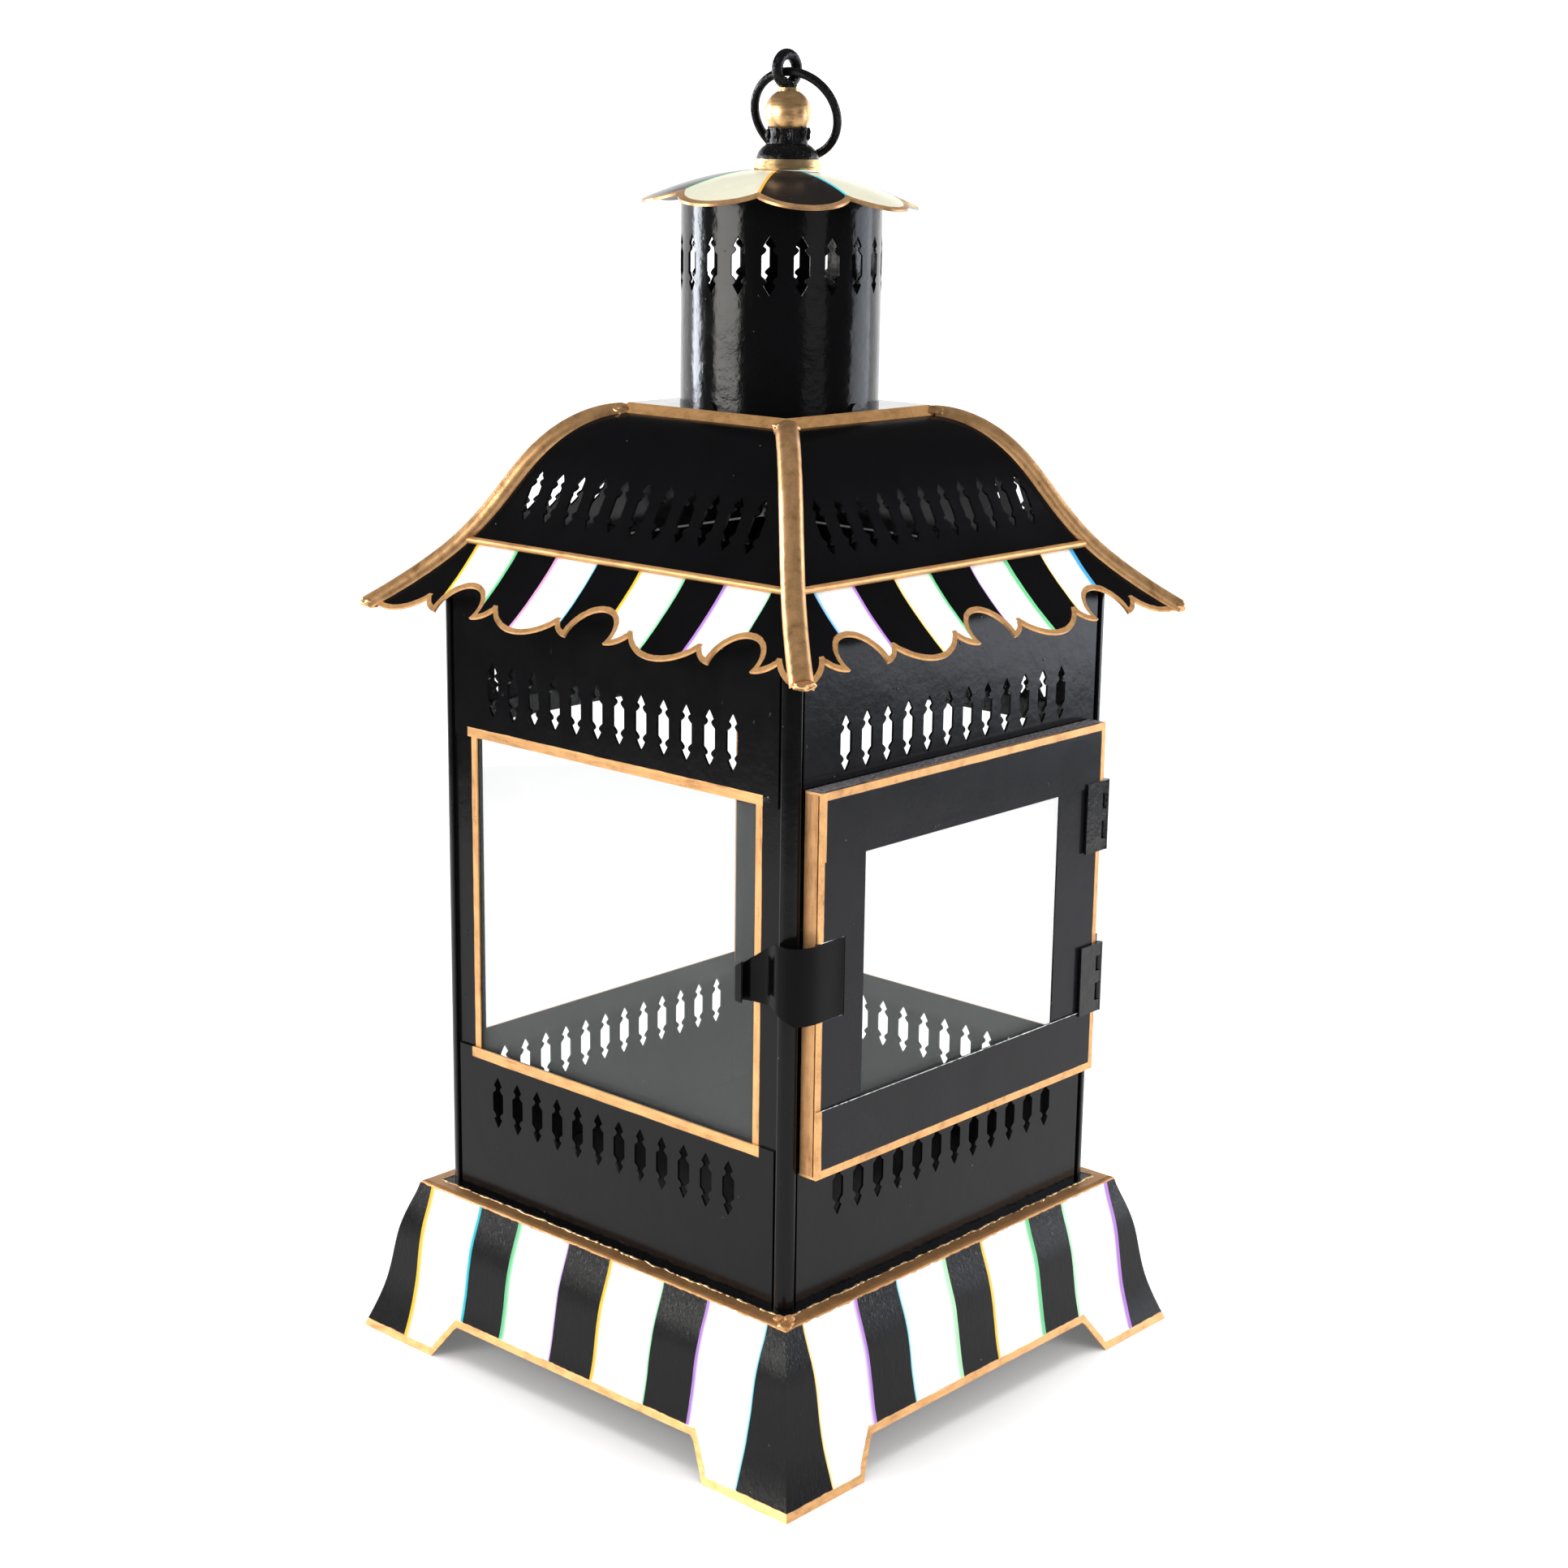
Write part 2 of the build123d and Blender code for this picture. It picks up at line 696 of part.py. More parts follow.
# ---- latch ----
def build_latch():
    """Spring strip cut from the door stile, wrapped round the corner post."""
    with BuildPart() as latch:
        with BuildSketch(Plane.XY.offset(LATCH_LOW)):
            with BuildLine():
                sheet_section(
                    [
                        (LATCH_ROOT, -92.9),
                        (-72.0, -92.95),
                        (-78.0, -93.3),
                        (-83.2, -93.1),
                        (-87.4, -91.4),
                        (-89.5, -88.2),
                        (-90.0, -85.2),
                        (-89.5, -82.4),
                        (-88.8, -80.0),
                        (-88.5, -77.4),
                        (-88.9, -74.0),
                        (-89.8, -70.8),
                        (-90.7, -67.8),
                    ],
                    0.6,
                    1,
                )
            make_face()
            with BuildLine():
                Polyline(
                    (-90.2, -67.5),
                    (-90.8, -68.1),
                    (-92.1, -68.5),
                    (-92.7, -71.4),
                    (-93.3, -71.2),
                    (-92.7, -68.0),
                    (-91.0, -67.2),
                    close=True,
                )
            make_face()
        extrude(amount=LATCH_HIGH - LATCH_LOW)
        with BuildSketch(wall_plane(270, 80)):
            with BuildLine():
                Polyline((84.4, 190.8), (78.0, 187.7), (67.5, 180.0), (60, 174.5), (60, 191.5), close=True)
            make_face()
            with BuildLine():
                Polyline(
                    (92.0, 162.0),
                    (90.0, 163.5),
                    (86.0, 165.6),
                    (81.0, 168.3),
                    (60.0, 168.6),
                    (60.0, 162.0),
                    close=True,
                )
            make_face()
        extrude(amount=20, mode=Mode.SUBTRACT)
    save(latch, "latch_spring")


# ---- hinges ----
def knuckle_spans(bottom):
    """Heights of the door knuckles and of the body knuckles between them."""
    door = [(bottom, bottom + 4.4), (bottom + 11.2, bottom + 15.8), (bottom + 21.7, bottom + HINGE_HEIGHT)]
    body = [(bottom + 4.6, bottom + 11.0), (bottom + 16.0, bottom + 21.5)]
    return door, body


def add_knuckles(spans):
    """Add bored knuckles on the hinge axis at the given heights."""
    for low, high in spans:
        with BuildSketch(Plane.XY.offset(low)) as knuckle:
            with Locations((HINGE_X, HINGE_Y)):
                Circle(HINGE_RADIUS)
        extrude(knuckle.sketch, amount=high - low)


def bore_knuckles(bottom):
    """Bore the pin hole through all knuckles of one hinge leaf."""
    with BuildSketch(Plane.XY.offset(bottom - 1)) as bore:
        with Locations((HINGE_X, HINGE_Y)):
            Circle(PIN_RADIUS + 0.05)
    extrude(bore.sketch, amount=HINGE_HEIGHT + 2, mode=Mode.SUBTRACT)


def build_hinge_door_leaf(label, bottom):
    """Door leaf: flat plate on the stile with windows beside the body knuckles."""
    door_spans, body_spans = knuckle_spans(bottom)
    right = HINGE_X
    with BuildPart() as leaf:
        with BuildSketch(wall_plane(0, DOOR_FRONT)):
            with Locations(((HINGE_LEAF_LEFT + right) / 2, bottom + HINGE_HEIGHT / 2)):
                Rectangle(right - HINGE_LEAF_LEFT, HINGE_HEIGHT)
            for low, high in body_spans:
                with Locations((75.2 + 3.0, (low + high) / 2)):
                    Rectangle(6.0, high - low + 0.4, mode=Mode.SUBTRACT)
        extrude(amount=SHEET)
        add_knuckles(door_spans)
        bore_knuckles(bottom)
    save(leaf, label)


def build_hinge_body_leaf(label, bottom):
    """Body leaf: folded plate from the knuckles back to the corner post leg."""
    door_spans, body_spans = knuckle_spans(bottom)
    plate_left = HINGE_X + HINGE_RADIUS - SHEET
    plate_right = HINGE_X + HINGE_RADIUS
    leg = WALL_HALF - SHEET
    with BuildPart() as leaf:
        add_knuckles(body_spans)
        for low, high in body_spans:
            with BuildSketch(Plane.XY.offset(low)):
                with BuildLine():
                    Polyline(
                        (plate_left, HINGE_Y),
                        (plate_right, HINGE_Y),
                        (plate_right, HINGE_Y + 2.4),
                        (plate_left, HINGE_Y + 2.4),
                        close=True,
                    )
                make_face()
            extrude(amount=high - low)
        with BuildSketch(Plane.XY.offset(bottom)):
            with BuildLine():
                Polyline(
                    (plate_left, HINGE_Y + 2.0),
                    (plate_right, HINGE_Y + 2.0),
                    (plate_right, -leg),
                    (plate_left - 1.6, -leg),
                    (plate_left - 1.6, -leg - 0.7),
                    (plate_left, -leg - 0.7),
                    close=True,
                )
            make_face()
        extrude(amount=HINGE_HEIGHT + 2.4)
        bore_knuckles(bottom)
    save(leaf, label)


def build_hinge_pins():
    """Plain pins of both hinges."""
    with BuildPart() as pins:
        for bottom in HINGE_BOTTOMS.values():
            with BuildSketch(Plane.XY.offset(bottom)):
                with Locations((HINGE_X, HINGE_Y)):
                    Circle(PIN_RADIUS)
            extrude(amount=HINGE_HEIGHT)
    save(pins, "hinge_pins")


# ---- build everything ----
os.makedirs("parts", exist_ok=True)
roof_core = build_roof_core()
plate_block = build_plate_block()
for side, angle in WALLS.items():
    build_skirt_panel(side, angle)
    build_wall_panel(f"upper_panel_{side}", angle, LINTEL_Z, WALL_TOP, UPPER_SLOT_Z)
    build_wall_panel(f"lower_panel_{side}", angle, LEDGE_Z, SILL_Z, LOWER_SLOT_Z)
    build_roof_panel(side, angle, plate_block)
hip_ribs = []
for corner, angle in CORNERS.items():
    build_corner_post(corner, angle)
    hip_ribs.append(build_hip_rib(corner, angle, roof_core, plate_block))
for side, angle in WALLS.items():
    build_trim_bead(side, angle, roof_core, hip_ribs)
for side in ("left", "back", "right"):
    build_window_pane(side, WALLS[side])
build_floor_plate()
build_top_plate(plate_block)
build_chimney()
build_chimney_tabs()
build_cap()
build_turned("finial_collar", [(0, 435.5), (11.7, 435.5), (11.9, 436.2), (11.05, 439.2), (0, 439.2)])
build_finial_dome()
build_turned(
    "finial_neck",
    [(0, 444.4), (7.1, 444.4), (6.8, 447.0), (7.0, 449.6), (0, 449.6)],
    ball_cut=True,
)
build_finial_ball()
build_turned("ball_collar", [(0, 461.9), (3.9, 461.9), (3.6, 463.4), (0, 463.4)], ball_cut=True)
build_eyelet()
build_ring()
build_door_rail("door_top_rail", PANE_HIGH, DOOR_HIGH)
build_door_rail("door_bottom_rail", DOOR_LOW, PANE_LOW)
build_door_stile("door_left_stile", DOOR_LEFT, PANE_LEFT, True)
build_door_stile("door_right_stile", PANE_RIGHT, DOOR_RIGHT, False)
build_door_case_side("door_case_left", DOOR_LEFT, 1, True)
build_door_case_side("door_case_right", DOOR_RIGHT, -1, False)
build_door_case_level("door_case_top", DOOR_HIGH, -1)
build_door_case_level("door_case_bottom", DOOR_LOW, 1)
build_door_pane()
build_latch()
for name, bottom in HINGE_BOTTOMS.items():
    build_hinge_door_leaf(f"hinge_door_leaf_{name}", bottom)
    build_hinge_body_leaf(f"hinge_body_leaf_{name}", bottom)
build_hinge_pins()
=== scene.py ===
"""Looks of the candle lantern: enamel, brushed gold paint, glass, studio light."""

import math

import bmesh
import bpy
from mathutils import Matrix, Vector, noise


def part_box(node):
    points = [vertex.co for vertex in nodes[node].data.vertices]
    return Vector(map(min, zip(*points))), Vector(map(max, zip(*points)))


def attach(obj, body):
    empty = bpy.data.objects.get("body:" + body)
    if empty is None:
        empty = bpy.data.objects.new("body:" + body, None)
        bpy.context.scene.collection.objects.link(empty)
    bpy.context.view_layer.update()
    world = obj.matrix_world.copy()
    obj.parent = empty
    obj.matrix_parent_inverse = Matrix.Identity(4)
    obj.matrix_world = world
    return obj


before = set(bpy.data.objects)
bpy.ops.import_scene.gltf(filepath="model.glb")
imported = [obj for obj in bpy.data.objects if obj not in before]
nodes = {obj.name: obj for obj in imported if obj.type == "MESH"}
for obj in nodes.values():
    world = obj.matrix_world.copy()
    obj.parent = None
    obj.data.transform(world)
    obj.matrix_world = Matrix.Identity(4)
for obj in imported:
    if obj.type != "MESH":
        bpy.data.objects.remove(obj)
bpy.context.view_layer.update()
MM = 0.001
GOLD_METAL = 0.55

BLACK = (0.0036, 0.0036, 0.0041)
GOLD_DARK = (0.36, 0.160, 0.058)
GOLD_LIGHT = (0.80, 0.44, 0.18)
WHITE = (0.92, 0.93, 0.91)
CREAM = (0.60, 0.58, 0.45)
LINES = {
    "yellow": (0.86, 0.55, 0.03),
    "orange": (0.75, 0.36, 0.04),
    "green": (0.16, 0.62, 0.28),
    "pale green": (0.45, 0.78, 0.50),
    "cyan": (0.02, 0.50, 0.62),
    "blue": (0.06, 0.38, 0.75),
    "purple": (0.46, 0.22, 0.66),
    "pink": (0.75, 0.34, 0.60),
}

# Places on the sheet metal, in millimetres, and the slope of the valance.
STRIPE_REACH = 112.0
SKIRT_TOP = 59.0
FOOT_GAP_END = 71.0
FOOT_GAP_START = 61.8
FOOT_GAP_RUN = 9.6
FOOT_GAP_RISE = 13.0
LEDGE_START = 58.3
WALL_FOOT = 88.3
BEAD_LINE = 305.0
VALANCE_TOP = 296.5
VALANCE_AT = (99.2, 286.1)
VALANCE_SLOPE = math.radians(38.7)
ARCH_HALF_PITCH = 33.35
WINDOW_SIDE = 72.8
LINTEL_BORDER = 238.0
SILL_BORDER = 112.2
DOOR_LEFT, DOOR_RIGHT = -77.0, 74.2
DOOR_LOW, DOOR_HIGH = 110.6, 238.3
PLATE_BORDER = 37.7

PETALS = 8
PETAL_ANGLE = 2 * math.pi / PETALS
BEVEL_ANGLE = math.radians(38)
THIN_EDGE = 0.12


# ---------------------------------------------------------------- node helpers
class Tree:
    """Small helper for building one material out of nodes."""

    def __init__(self, name):
        self.mat = bpy.data.materials.new(name)
        self.mat.use_nodes = True
        self.tree = self.mat.node_tree
        self.bsdf = self.tree.nodes["Principled BSDF"]
        coord = self.new("ShaderNodeTexCoord")
        scale = self.new("ShaderNodeVectorMath", operation="SCALE")
        self.link(coord.outputs["Object"], scale.inputs[0])
        scale.inputs["Scale"].default_value = 1000.0
        self.mm = scale.outputs[0]
        self.normal = coord.outputs["Normal"]
        split = self.new("ShaderNodeSeparateXYZ")
        self.link(self.mm, split.inputs[0])
        self.x, self.y, self.z = split.outputs

    def new(self, kind, **settings):
        node = self.tree.nodes.new(kind)
        for key, value in settings.items():
            setattr(node, key, value)
        return node

    def link(self, source, target):
        self.tree.links.new(source, target)

    def put(self, value, target):
        if isinstance(value, bpy.types.NodeSocket):
            self.link(value, target)
        elif isinstance(value, tuple) and len(value) == 3 and target.type == "RGBA":
            target.default_value = (*value, 1.0)
        else:
            target.default_value = value

    def math(self, operation, a, b=0.0, c=None, clamp=False):
        node = self.new("ShaderNodeMath", operation=operation, use_clamp=clamp)
        self.put(a, node.inputs[0])
        self.put(b, node.inputs[1])
        if c is not None:
            self.put(c, node.inputs[2])
        return node.outputs[0]

    def add(self, a, b):
        return self.math("ADD", a, b)

    def sub(self, a, b):
        return self.math("SUBTRACT", a, b)

    def mul(self, a, b):
        return self.math("MULTIPLY", a, b)

    def size(self, a):
        return self.math("ABSOLUTE", a)

    def length(self, a, b):
        return self.math("SQRT", self.add(self.mul(a, a), self.mul(b, b)))

    def below(self, value, limit, soft=0.12):
        """1 where value is under the limit, with a soft edge."""
        return self.math("DIVIDE", self.sub(self.add(limit, soft), value), 2 * soft, clamp=True)

    def above(self, value, limit, soft=0.12):
        return self.sub(1.0, self.below(value, limit, soft))

    def both(self, a, b):
        return self.math("MINIMUM", a, b)

    def either(self, a, b):
        return self.math("MAXIMUM", a, b)

    def facing(self, direction, limit=0.0):
        """1 on faces turned towards a direction of the object's own space."""
        dot = self.new("ShaderNodeVectorMath", operation="DOT_PRODUCT")
        self.link(self.normal, dot.inputs[0])
        dot.inputs[1].default_value = direction
        return self.above(dot.outputs["Value"], limit, 0.05)

    def ramp(self, value, stops, interpolation="LINEAR"):
        """Colour ramp over 0 to 1 with (place, colour) stops."""
        node = self.new("ShaderNodeValToRGB")
        node.color_ramp.interpolation = interpolation
        elements = node.color_ramp.elements
        while len(elements) > 1:
            elements.remove(elements[-1])
        for index, (place, colour) in enumerate(stops):
            element = elements[0] if index == 0 else elements.new(place)
            element.position = place
            element.color = (*colour, 1.0)
        self.link(value, node.inputs[0])
        return node.outputs["Color"]

    def mix(self, factor, a, b):
        node = self.new("ShaderNodeMix", data_type="RGBA")
        self.put(factor, node.inputs["Factor"])
        self.put(a, node.inputs["A"])
        self.put(b, node.inputs["B"])
        return node.outputs["Result"]

    def blend(self, factor, a, b):
        node = self.new("ShaderNodeMix", data_type="FLOAT")
        self.put(factor, node.inputs["Factor"])
        self.put(a, node.inputs["A"])
        self.put(b, node.inputs["B"])
        return node.outputs["Result"]

    def stretch(self, scale):
        """The millimetre coordinates scaled per axis, for streaks."""
        node = self.new("ShaderNodeVectorMath", operation="MULTIPLY")
        self.link(self.mm, node.inputs[0])
        node.inputs[1].default_value = scale
        return node.outputs[0]

    def noise(self, scale, detail=2.0, roughness=0.5, vector=None):
        node = self.new("ShaderNodeTexNoise")
        self.link(vector or self.mm, node.inputs["Vector"])
        node.inputs["Scale"].default_value = scale
        node.inputs["Detail"].default_value = detail
        node.inputs["Roughness"].default_value = roughness
        return node.outputs[0]

    def cells(self, scale):
        node = self.new("ShaderNodeTexVoronoi")
        self.link(self.mm, node.inputs["Vector"])
        node.inputs["Scale"].default_value = scale
        return node.outputs["Distance"]

    def bump(self, layers):
        """Chain of bumps from (height, distance in mm, strength) layers."""
        normal = None
        for height, distance, strength in layers:
            node = self.new("ShaderNodeBump")
            node.inputs["Distance"].default_value = distance * MM
            node.inputs["Strength"].default_value = strength
            self.link(height, node.inputs["Height"])
            if normal is not None:
                self.link(normal, node.inputs["Normal"])
            normal = node.outputs[0]
        self.link(normal, self.bsdf.inputs["Normal"])

    # ---- paints: each returns (colour, roughness)
    def black_paint(self, tone=BLACK, rough=0.13):
        cloud = self.noise(0.035, 3.0, 0.6)
        colour = self.mix(cloud, tuple(0.7 * v for v in tone), tuple(1.5 * v for v in tone))
        speck = self.below(self.cells(0.09), 0.020, 0.010)
        colour = self.mix(self.mul(speck, 0.5), colour, (0.35, 0.35, 0.35))
        smear = self.noise(0.09, 4.0, 0.65)
        return colour, self.add(rough, self.mul(smear, 0.10))

    def gold_paint(self, streak=(1.0, 1.0, 1.0), dark=GOLD_DARK, light=GOLD_LIGHT):
        long = self.noise(0.55, 5.0, 0.7, self.stretch(streak))
        patch = self.noise(0.12, 3.0, 0.6)
        tone = self.math("MULTIPLY_ADD", long, 0.75, self.mul(patch, 0.5))
        between = tuple((a + 2 * b) / 3 for a, b in zip(dark, light))
        colour = self.ramp(tone, [(0.38, dark), (0.55, between), (0.72, light)])
        pit = self.below(self.cells(0.5), 0.10, 0.04)
        colour = self.mix(self.mul(pit, 0.45), colour, (0.10, 0.05, 0.02))
        return colour, self.math("MULTIPLY_ADD", long, 0.22, 0.24)

    def finish(self, colour, rough, metal=0.0, gloss=0.155):
        self.put(colour, self.bsdf.inputs["Base Color"])
        self.put(rough, self.bsdf.inputs["Roughness"])
        self.put(metal, self.bsdf.inputs["Metallic"])
        self.bsdf.inputs["Specular IOR Level"].default_value = gloss
        return self.mat

    def peel(self, strength=1.0, extra=()):
        """Orange peel, fine grit and a few nibs, as on dipped and brushed enamel."""
        layers = [
            (self.noise(0.05, 2.0, 0.5), 1.6, 0.10 * strength),
            (self.noise(0.42, 2.0, 0.5), 0.10, 0.30 * strength),
            (self.noise(1.6, 2.0, 0.6), 0.03, 0.18 * strength),
            (self.below(self.cells(0.10), 0.030, 0.03), 0.14, 0.7 * strength),
        ]
        self.bump(layers + list(extra))


def two_paints(tree, mask, streak=(1.0, 1.0, 1.0), tone=BLACK, rough=0.13, peel=1.0):
    """Black enamel with hand-painted gold where the mask is 1."""
    black, black_rough = tree.black_paint(tone, rough)
    gold, gold_rough = tree.gold_paint(streak)
    strokes = tree.noise(0.9, 3.0, 0.6, tree.stretch(streak))
    tree.peel(peel, [(tree.mul(strokes, mask), 0.12, 0.5), (mask, 0.10, 0.6)])
    colour = tree.mix(mask, black, gold)
    return tree.finish(colour, tree.blend(mask, black_rough, gold_rough), tree.mul(mask, GOLD_METAL))


def wobble(tree, value, amount=0.35, scale=0.12):
    """A coordinate with the unsteadiness of a hand-painted line."""
    shake = tree.sub(tree.noise(scale, 2.0, 0.5), 0.5)
    return tree.math("MULTIPLY_ADD", shake, 2 * amount, value)


def wear(material, obj):
    """Give an object one material in place of any it has."""
    obj.data.materials.clear()
    obj.data.materials.append(material)


def dress(name, material, bevel=0.15, segments=2):
    """Give a CAD node its material, with softened sheet edges."""
    obj = nodes[name]
    wear(material, obj)
    if bevel:
        cut = obj.modifiers.new("edge", "BEVEL")
        cut.width = bevel * MM
        cut.segments = segments
        cut.limit_method = "ANGLE"
        cut.angle_limit = BEVEL_ANGLE
        cut.harden_normals = False


# ---------------------------------------------------------------- paints
def plain_black(name, peel=1.0, rough=0.13, tone=BLACK, gloss=0.155):
    tree = Tree(name)
    colour, roughness = tree.black_paint(tone, rough)
    tree.peel(peel)
    return tree.finish(colour, roughness, 0.0, gloss)


def cast_black(name):
    """Lumpy black on the ring, eyelet and neck."""
    tree = Tree(name)
    colour, roughness = tree.black_paint((0.005, 0.005, 0.0055), 0.14)
    scuff = tree.above(tree.noise(0.9, 4.0, 0.7), 0.62, 0.05)
    colour = tree.mix(tree.mul(scuff, 0.4), colour, (0.05, 0.05, 0.055))
    tree.bump(
        [
            (tree.noise(0.45, 3.0, 0.6), 0.5, 0.7),
            (tree.noise(1.7, 3.0, 0.6), 0.16, 0.6),
        ]
    )
    return tree.finish(colour, tree.math("MULTIPLY_ADD", scuff, 0.2, roughness))


def plain_gold(name, streak, dark=GOLD_DARK, light=GOLD_LIGHT, metal=GOLD_METAL):
    tree = Tree(name)
    colour, roughness = tree.gold_paint(streak, dark, light)
    tree.bump(
        [
            (tree.noise(0.10, 2.0, 0.5), 0.9, 0.25),
            (tree.noise(0.9, 3.0, 0.6, tree.stretch(streak)), 0.14, 0.6),
            (tree.noise(2.4, 2.0, 0.6), 0.05, 0.35),
        ]
    )
    return tree.finish(colour, roughness, metal)


def glass(name):
    tree = Tree(name)
    smear = tree.noise(0.03, 4.0, 0.6)
    tree.put(tree.mix(smear, (0.30, 0.33, 0.32), (0.40, 0.43, 0.42)), tree.bsdf.inputs["Base Color"])
    tree.put(tree.math("MULTIPLY_ADD", smear, 0.05, 0.01), tree.bsdf.inputs["Roughness"])
    tree.bsdf.inputs["Specular IOR Level"].default_value = 0.8
    tree.bsdf.inputs["Alpha"].default_value = 0.11
    return tree.mat


OUTWARD = {"front": (0, -1, 0), "right": (1, 0, 0), "back": (0, 1, 0), "left": (-1, 0, 0)}


def side_axes(tree, side):
    """(along, outward) coordinates of a wall, in millimetres."""
    if side in ("front", "back"):
        return tree.x, tree.size(tree.y)
    return tree.y, tree.size(tree.x)


SKIRT_STRIPES = {
    "left": [
        (-86.5, "cyan", -58.0, "purple"),
        (-37.6, "green", -10.0, "yellow"),
        (10.6, "purple", 38.0, "green"),
        (58.4, "cyan", 87.0, "yellow"),
    ],
    "front": [
        (-86.5, "yellow", -58.2, "purple"),
        (-37.4, "cyan", -10.2, "pale green"),
        (10.2, "yellow", 38.8, "green"),
        (59.2, "pale green", 88.6, "purple"),
    ],
    "right": [
        (-87.0, "green", -58.4, "yellow"),
        (-38.2, "purple", -10.4, "cyan"),
        (10.0, "green", 37.8, "pink"),
        (58.6, "yellow", 86.8, "blue"),
    ],
    "back": [
        (-86.8, "purple", -58.6, "green"),
        (-38.0, "yellow", -10.2, "cyan"),
        (10.4, "purple", 38.2, "yellow"),
        (58.2, "green", 87.0, "blue"),
    ],
}
VALANCE_STRIPES = {
    "left": [
        (-72.3, "green", -51.1, "purple"),
        (-33.5, "green", -11.7, "yellow"),
        (8.2, "cyan", 29.7, "pink"),
        (49.0, "green", 70.6, "yellow"),
    ],
    "front": [
        (-72.0, "blue", -51.7, "purple"),
        (-31.8, "yellow", -12.3, "green"),
        (8.0, "purple", 29.0, "green"),
        (48.2, "yellow", 67.4, "blue"),
    ],
    "right": [
        (-71.5, "cyan", -50.5, "green"),
        (-31.0, "pink", -10.0, "yellow"),
        (10.0, "green", 31.0, "purple"),
        (50.5, "blue", 71.5, "yellow"),
    ],
    "back": [
        (-71.0, "yellow", -50.8, "purple"),
        (-31.2, "green", -10.2, "cyan"),
        (10.2, "yellow", 30.6, "pink"),
        (50.0, "green", 71.2, "cyan"),
    ],
}
SHIFT = {"front": -1.8, "right": 0.0, "back": 0.0, "left": -6.6}


def pale(colour, share=0.80):
    """A colour washed out with the white of the stripes."""
    return tuple(share * w + (1 - share) * c for c, w in zip(colour, WHITE))


def striped(tree, along, stripes, reach, line):
    """White stripes, each edged by two thin coloured lines, and their cover mask."""
    place = tree.math("DIVIDE", tree.add(along, reach), 2 * reach)
    paints = []
    covers = [(0.0, (0.0, 0.0, 0.0))]
    for low, low_line, high, high_line in stripes:
        first, last = LINES[low_line], LINES[high_line]
        paints += [
            (low, first),
            (low + line, first),
            (low + line + 0.25, pale(first)),
            (low + line + 4.5, WHITE),
            (high - line - 4.5, WHITE),
            (high - line - 0.25, pale(last)),
            (high - line, last),
            (high, last),
        ]
        covers += [((low + reach) / (2 * reach), (1.0, 1.0, 1.0))]
        covers += [((high + reach) / (2 * reach), (0.0, 0.0, 0.0))]
    stops = [((at + reach) / (2 * reach), colour) for at, colour in paints]
    return tree.ramp(place, stops), tree.ramp(place, covers, "CONSTANT")


def skirt_paint(side):
    """Striped skirt, gold band at its feet, ledge darkened to bronze as painted shade, painted glints on
    the bend.
    """
    tree = Tree(f"skirt_{side}")
    along, outward = side_axes(tree, side)
    edge = wobble(tree, along, 0.45, 0.05)
    paint, cover = striped(tree, edge, SKIRT_STRIPES[side], STRIPE_REACH, 1.15)
    outer = tree.facing(OUTWARD[side], -0.5)
    reach = tree.size(along)
    arch = tree.math("DIVIDE", tree.sub(FOOT_GAP_END, reach), FOOT_GAP_RUN, clamp=True)
    slanted = tree.both(tree.above(reach, FOOT_GAP_START, 0.4), tree.below(reach, FOOT_GAP_END, 0.4))
    band = tree.math("MULTIPLY_ADD", slanted, 1.5, 2.7)
    height = wobble(tree, tree.sub(tree.z, tree.mul(arch, FOOT_GAP_RISE)), 0.35, 0.25)
    low_gold = tree.below(height, band, 0.15)
    high_gold = tree.above(wobble(tree, tree.z, 0.55, 0.3), LEDGE_START, 0.15)
    wall_foot = tree.below(wobble(tree, outward, 0.9, 0.25), WALL_FOOT, 0.3)
    ledge = tree.sub(1.0, tree.mul(wall_foot, tree.above(tree.z, 58.0)))
    mask = tree.mul(tree.mul(tree.either(low_gold, high_gold), ledge), outer)
    cover = tree.mul(tree.mul(cover, outer), tree.below(tree.z, SKIRT_TOP))
    black, black_rough = tree.black_paint(BLACK, 0.14)
    strokes = tree.noise(0.9, 4.0, 0.75, tree.stretch((1.0, 1.0, 0.12)))
    bend = tree.both(tree.above(tree.z, 49.0, 7.0), tree.below(tree.z, 58.5, 1.0))
    # Light grey streaks on the black near the top bend are painted glints, standing in for the highlight
    # on the rounded bend.
    glint_streaks = tree.noise(1.5, 4.0, 0.8, tree.stretch((1.0, 1.0, 0.3)))
    bend_glint = tree.mul(tree.above(glint_streaks, 0.60, 0.04), bend)
    black = tree.mix(tree.mul(bend_glint, 0.30), black, (0.32, 0.32, 0.33))
    body = tree.mix(cover, black, paint)
    gold, gold_rough = tree.gold_paint((0.3, 0.3, 1.2))
    # The gold on the ledge top and upper bend is darkened to bronze as painted shade.
    ledge_shade = tree.mul(tree.above(tree.z, 57.6, 0.6), 0.5)
    gold = tree.mix(ledge_shade, gold, (0.20, 0.085, 0.030))
    grit = tree.noise(1.3, 3.0, 0.7, tree.stretch((1.0, 1.0, 0.45)))
    brush = [(strokes, 0.20, 0.50), (tree.mul(grit, bend), 0.30, 0.75)]
    tree.peel(0.7, brush + [(cover, 0.10, 0.4), (mask, 0.14, 0.5)])
    rough = tree.blend(mask, tree.blend(cover, black_rough, 0.24), gold_rough)
    return tree.finish(tree.mix(mask, body, gold), rough, tree.mul(mask, GOLD_METAL))


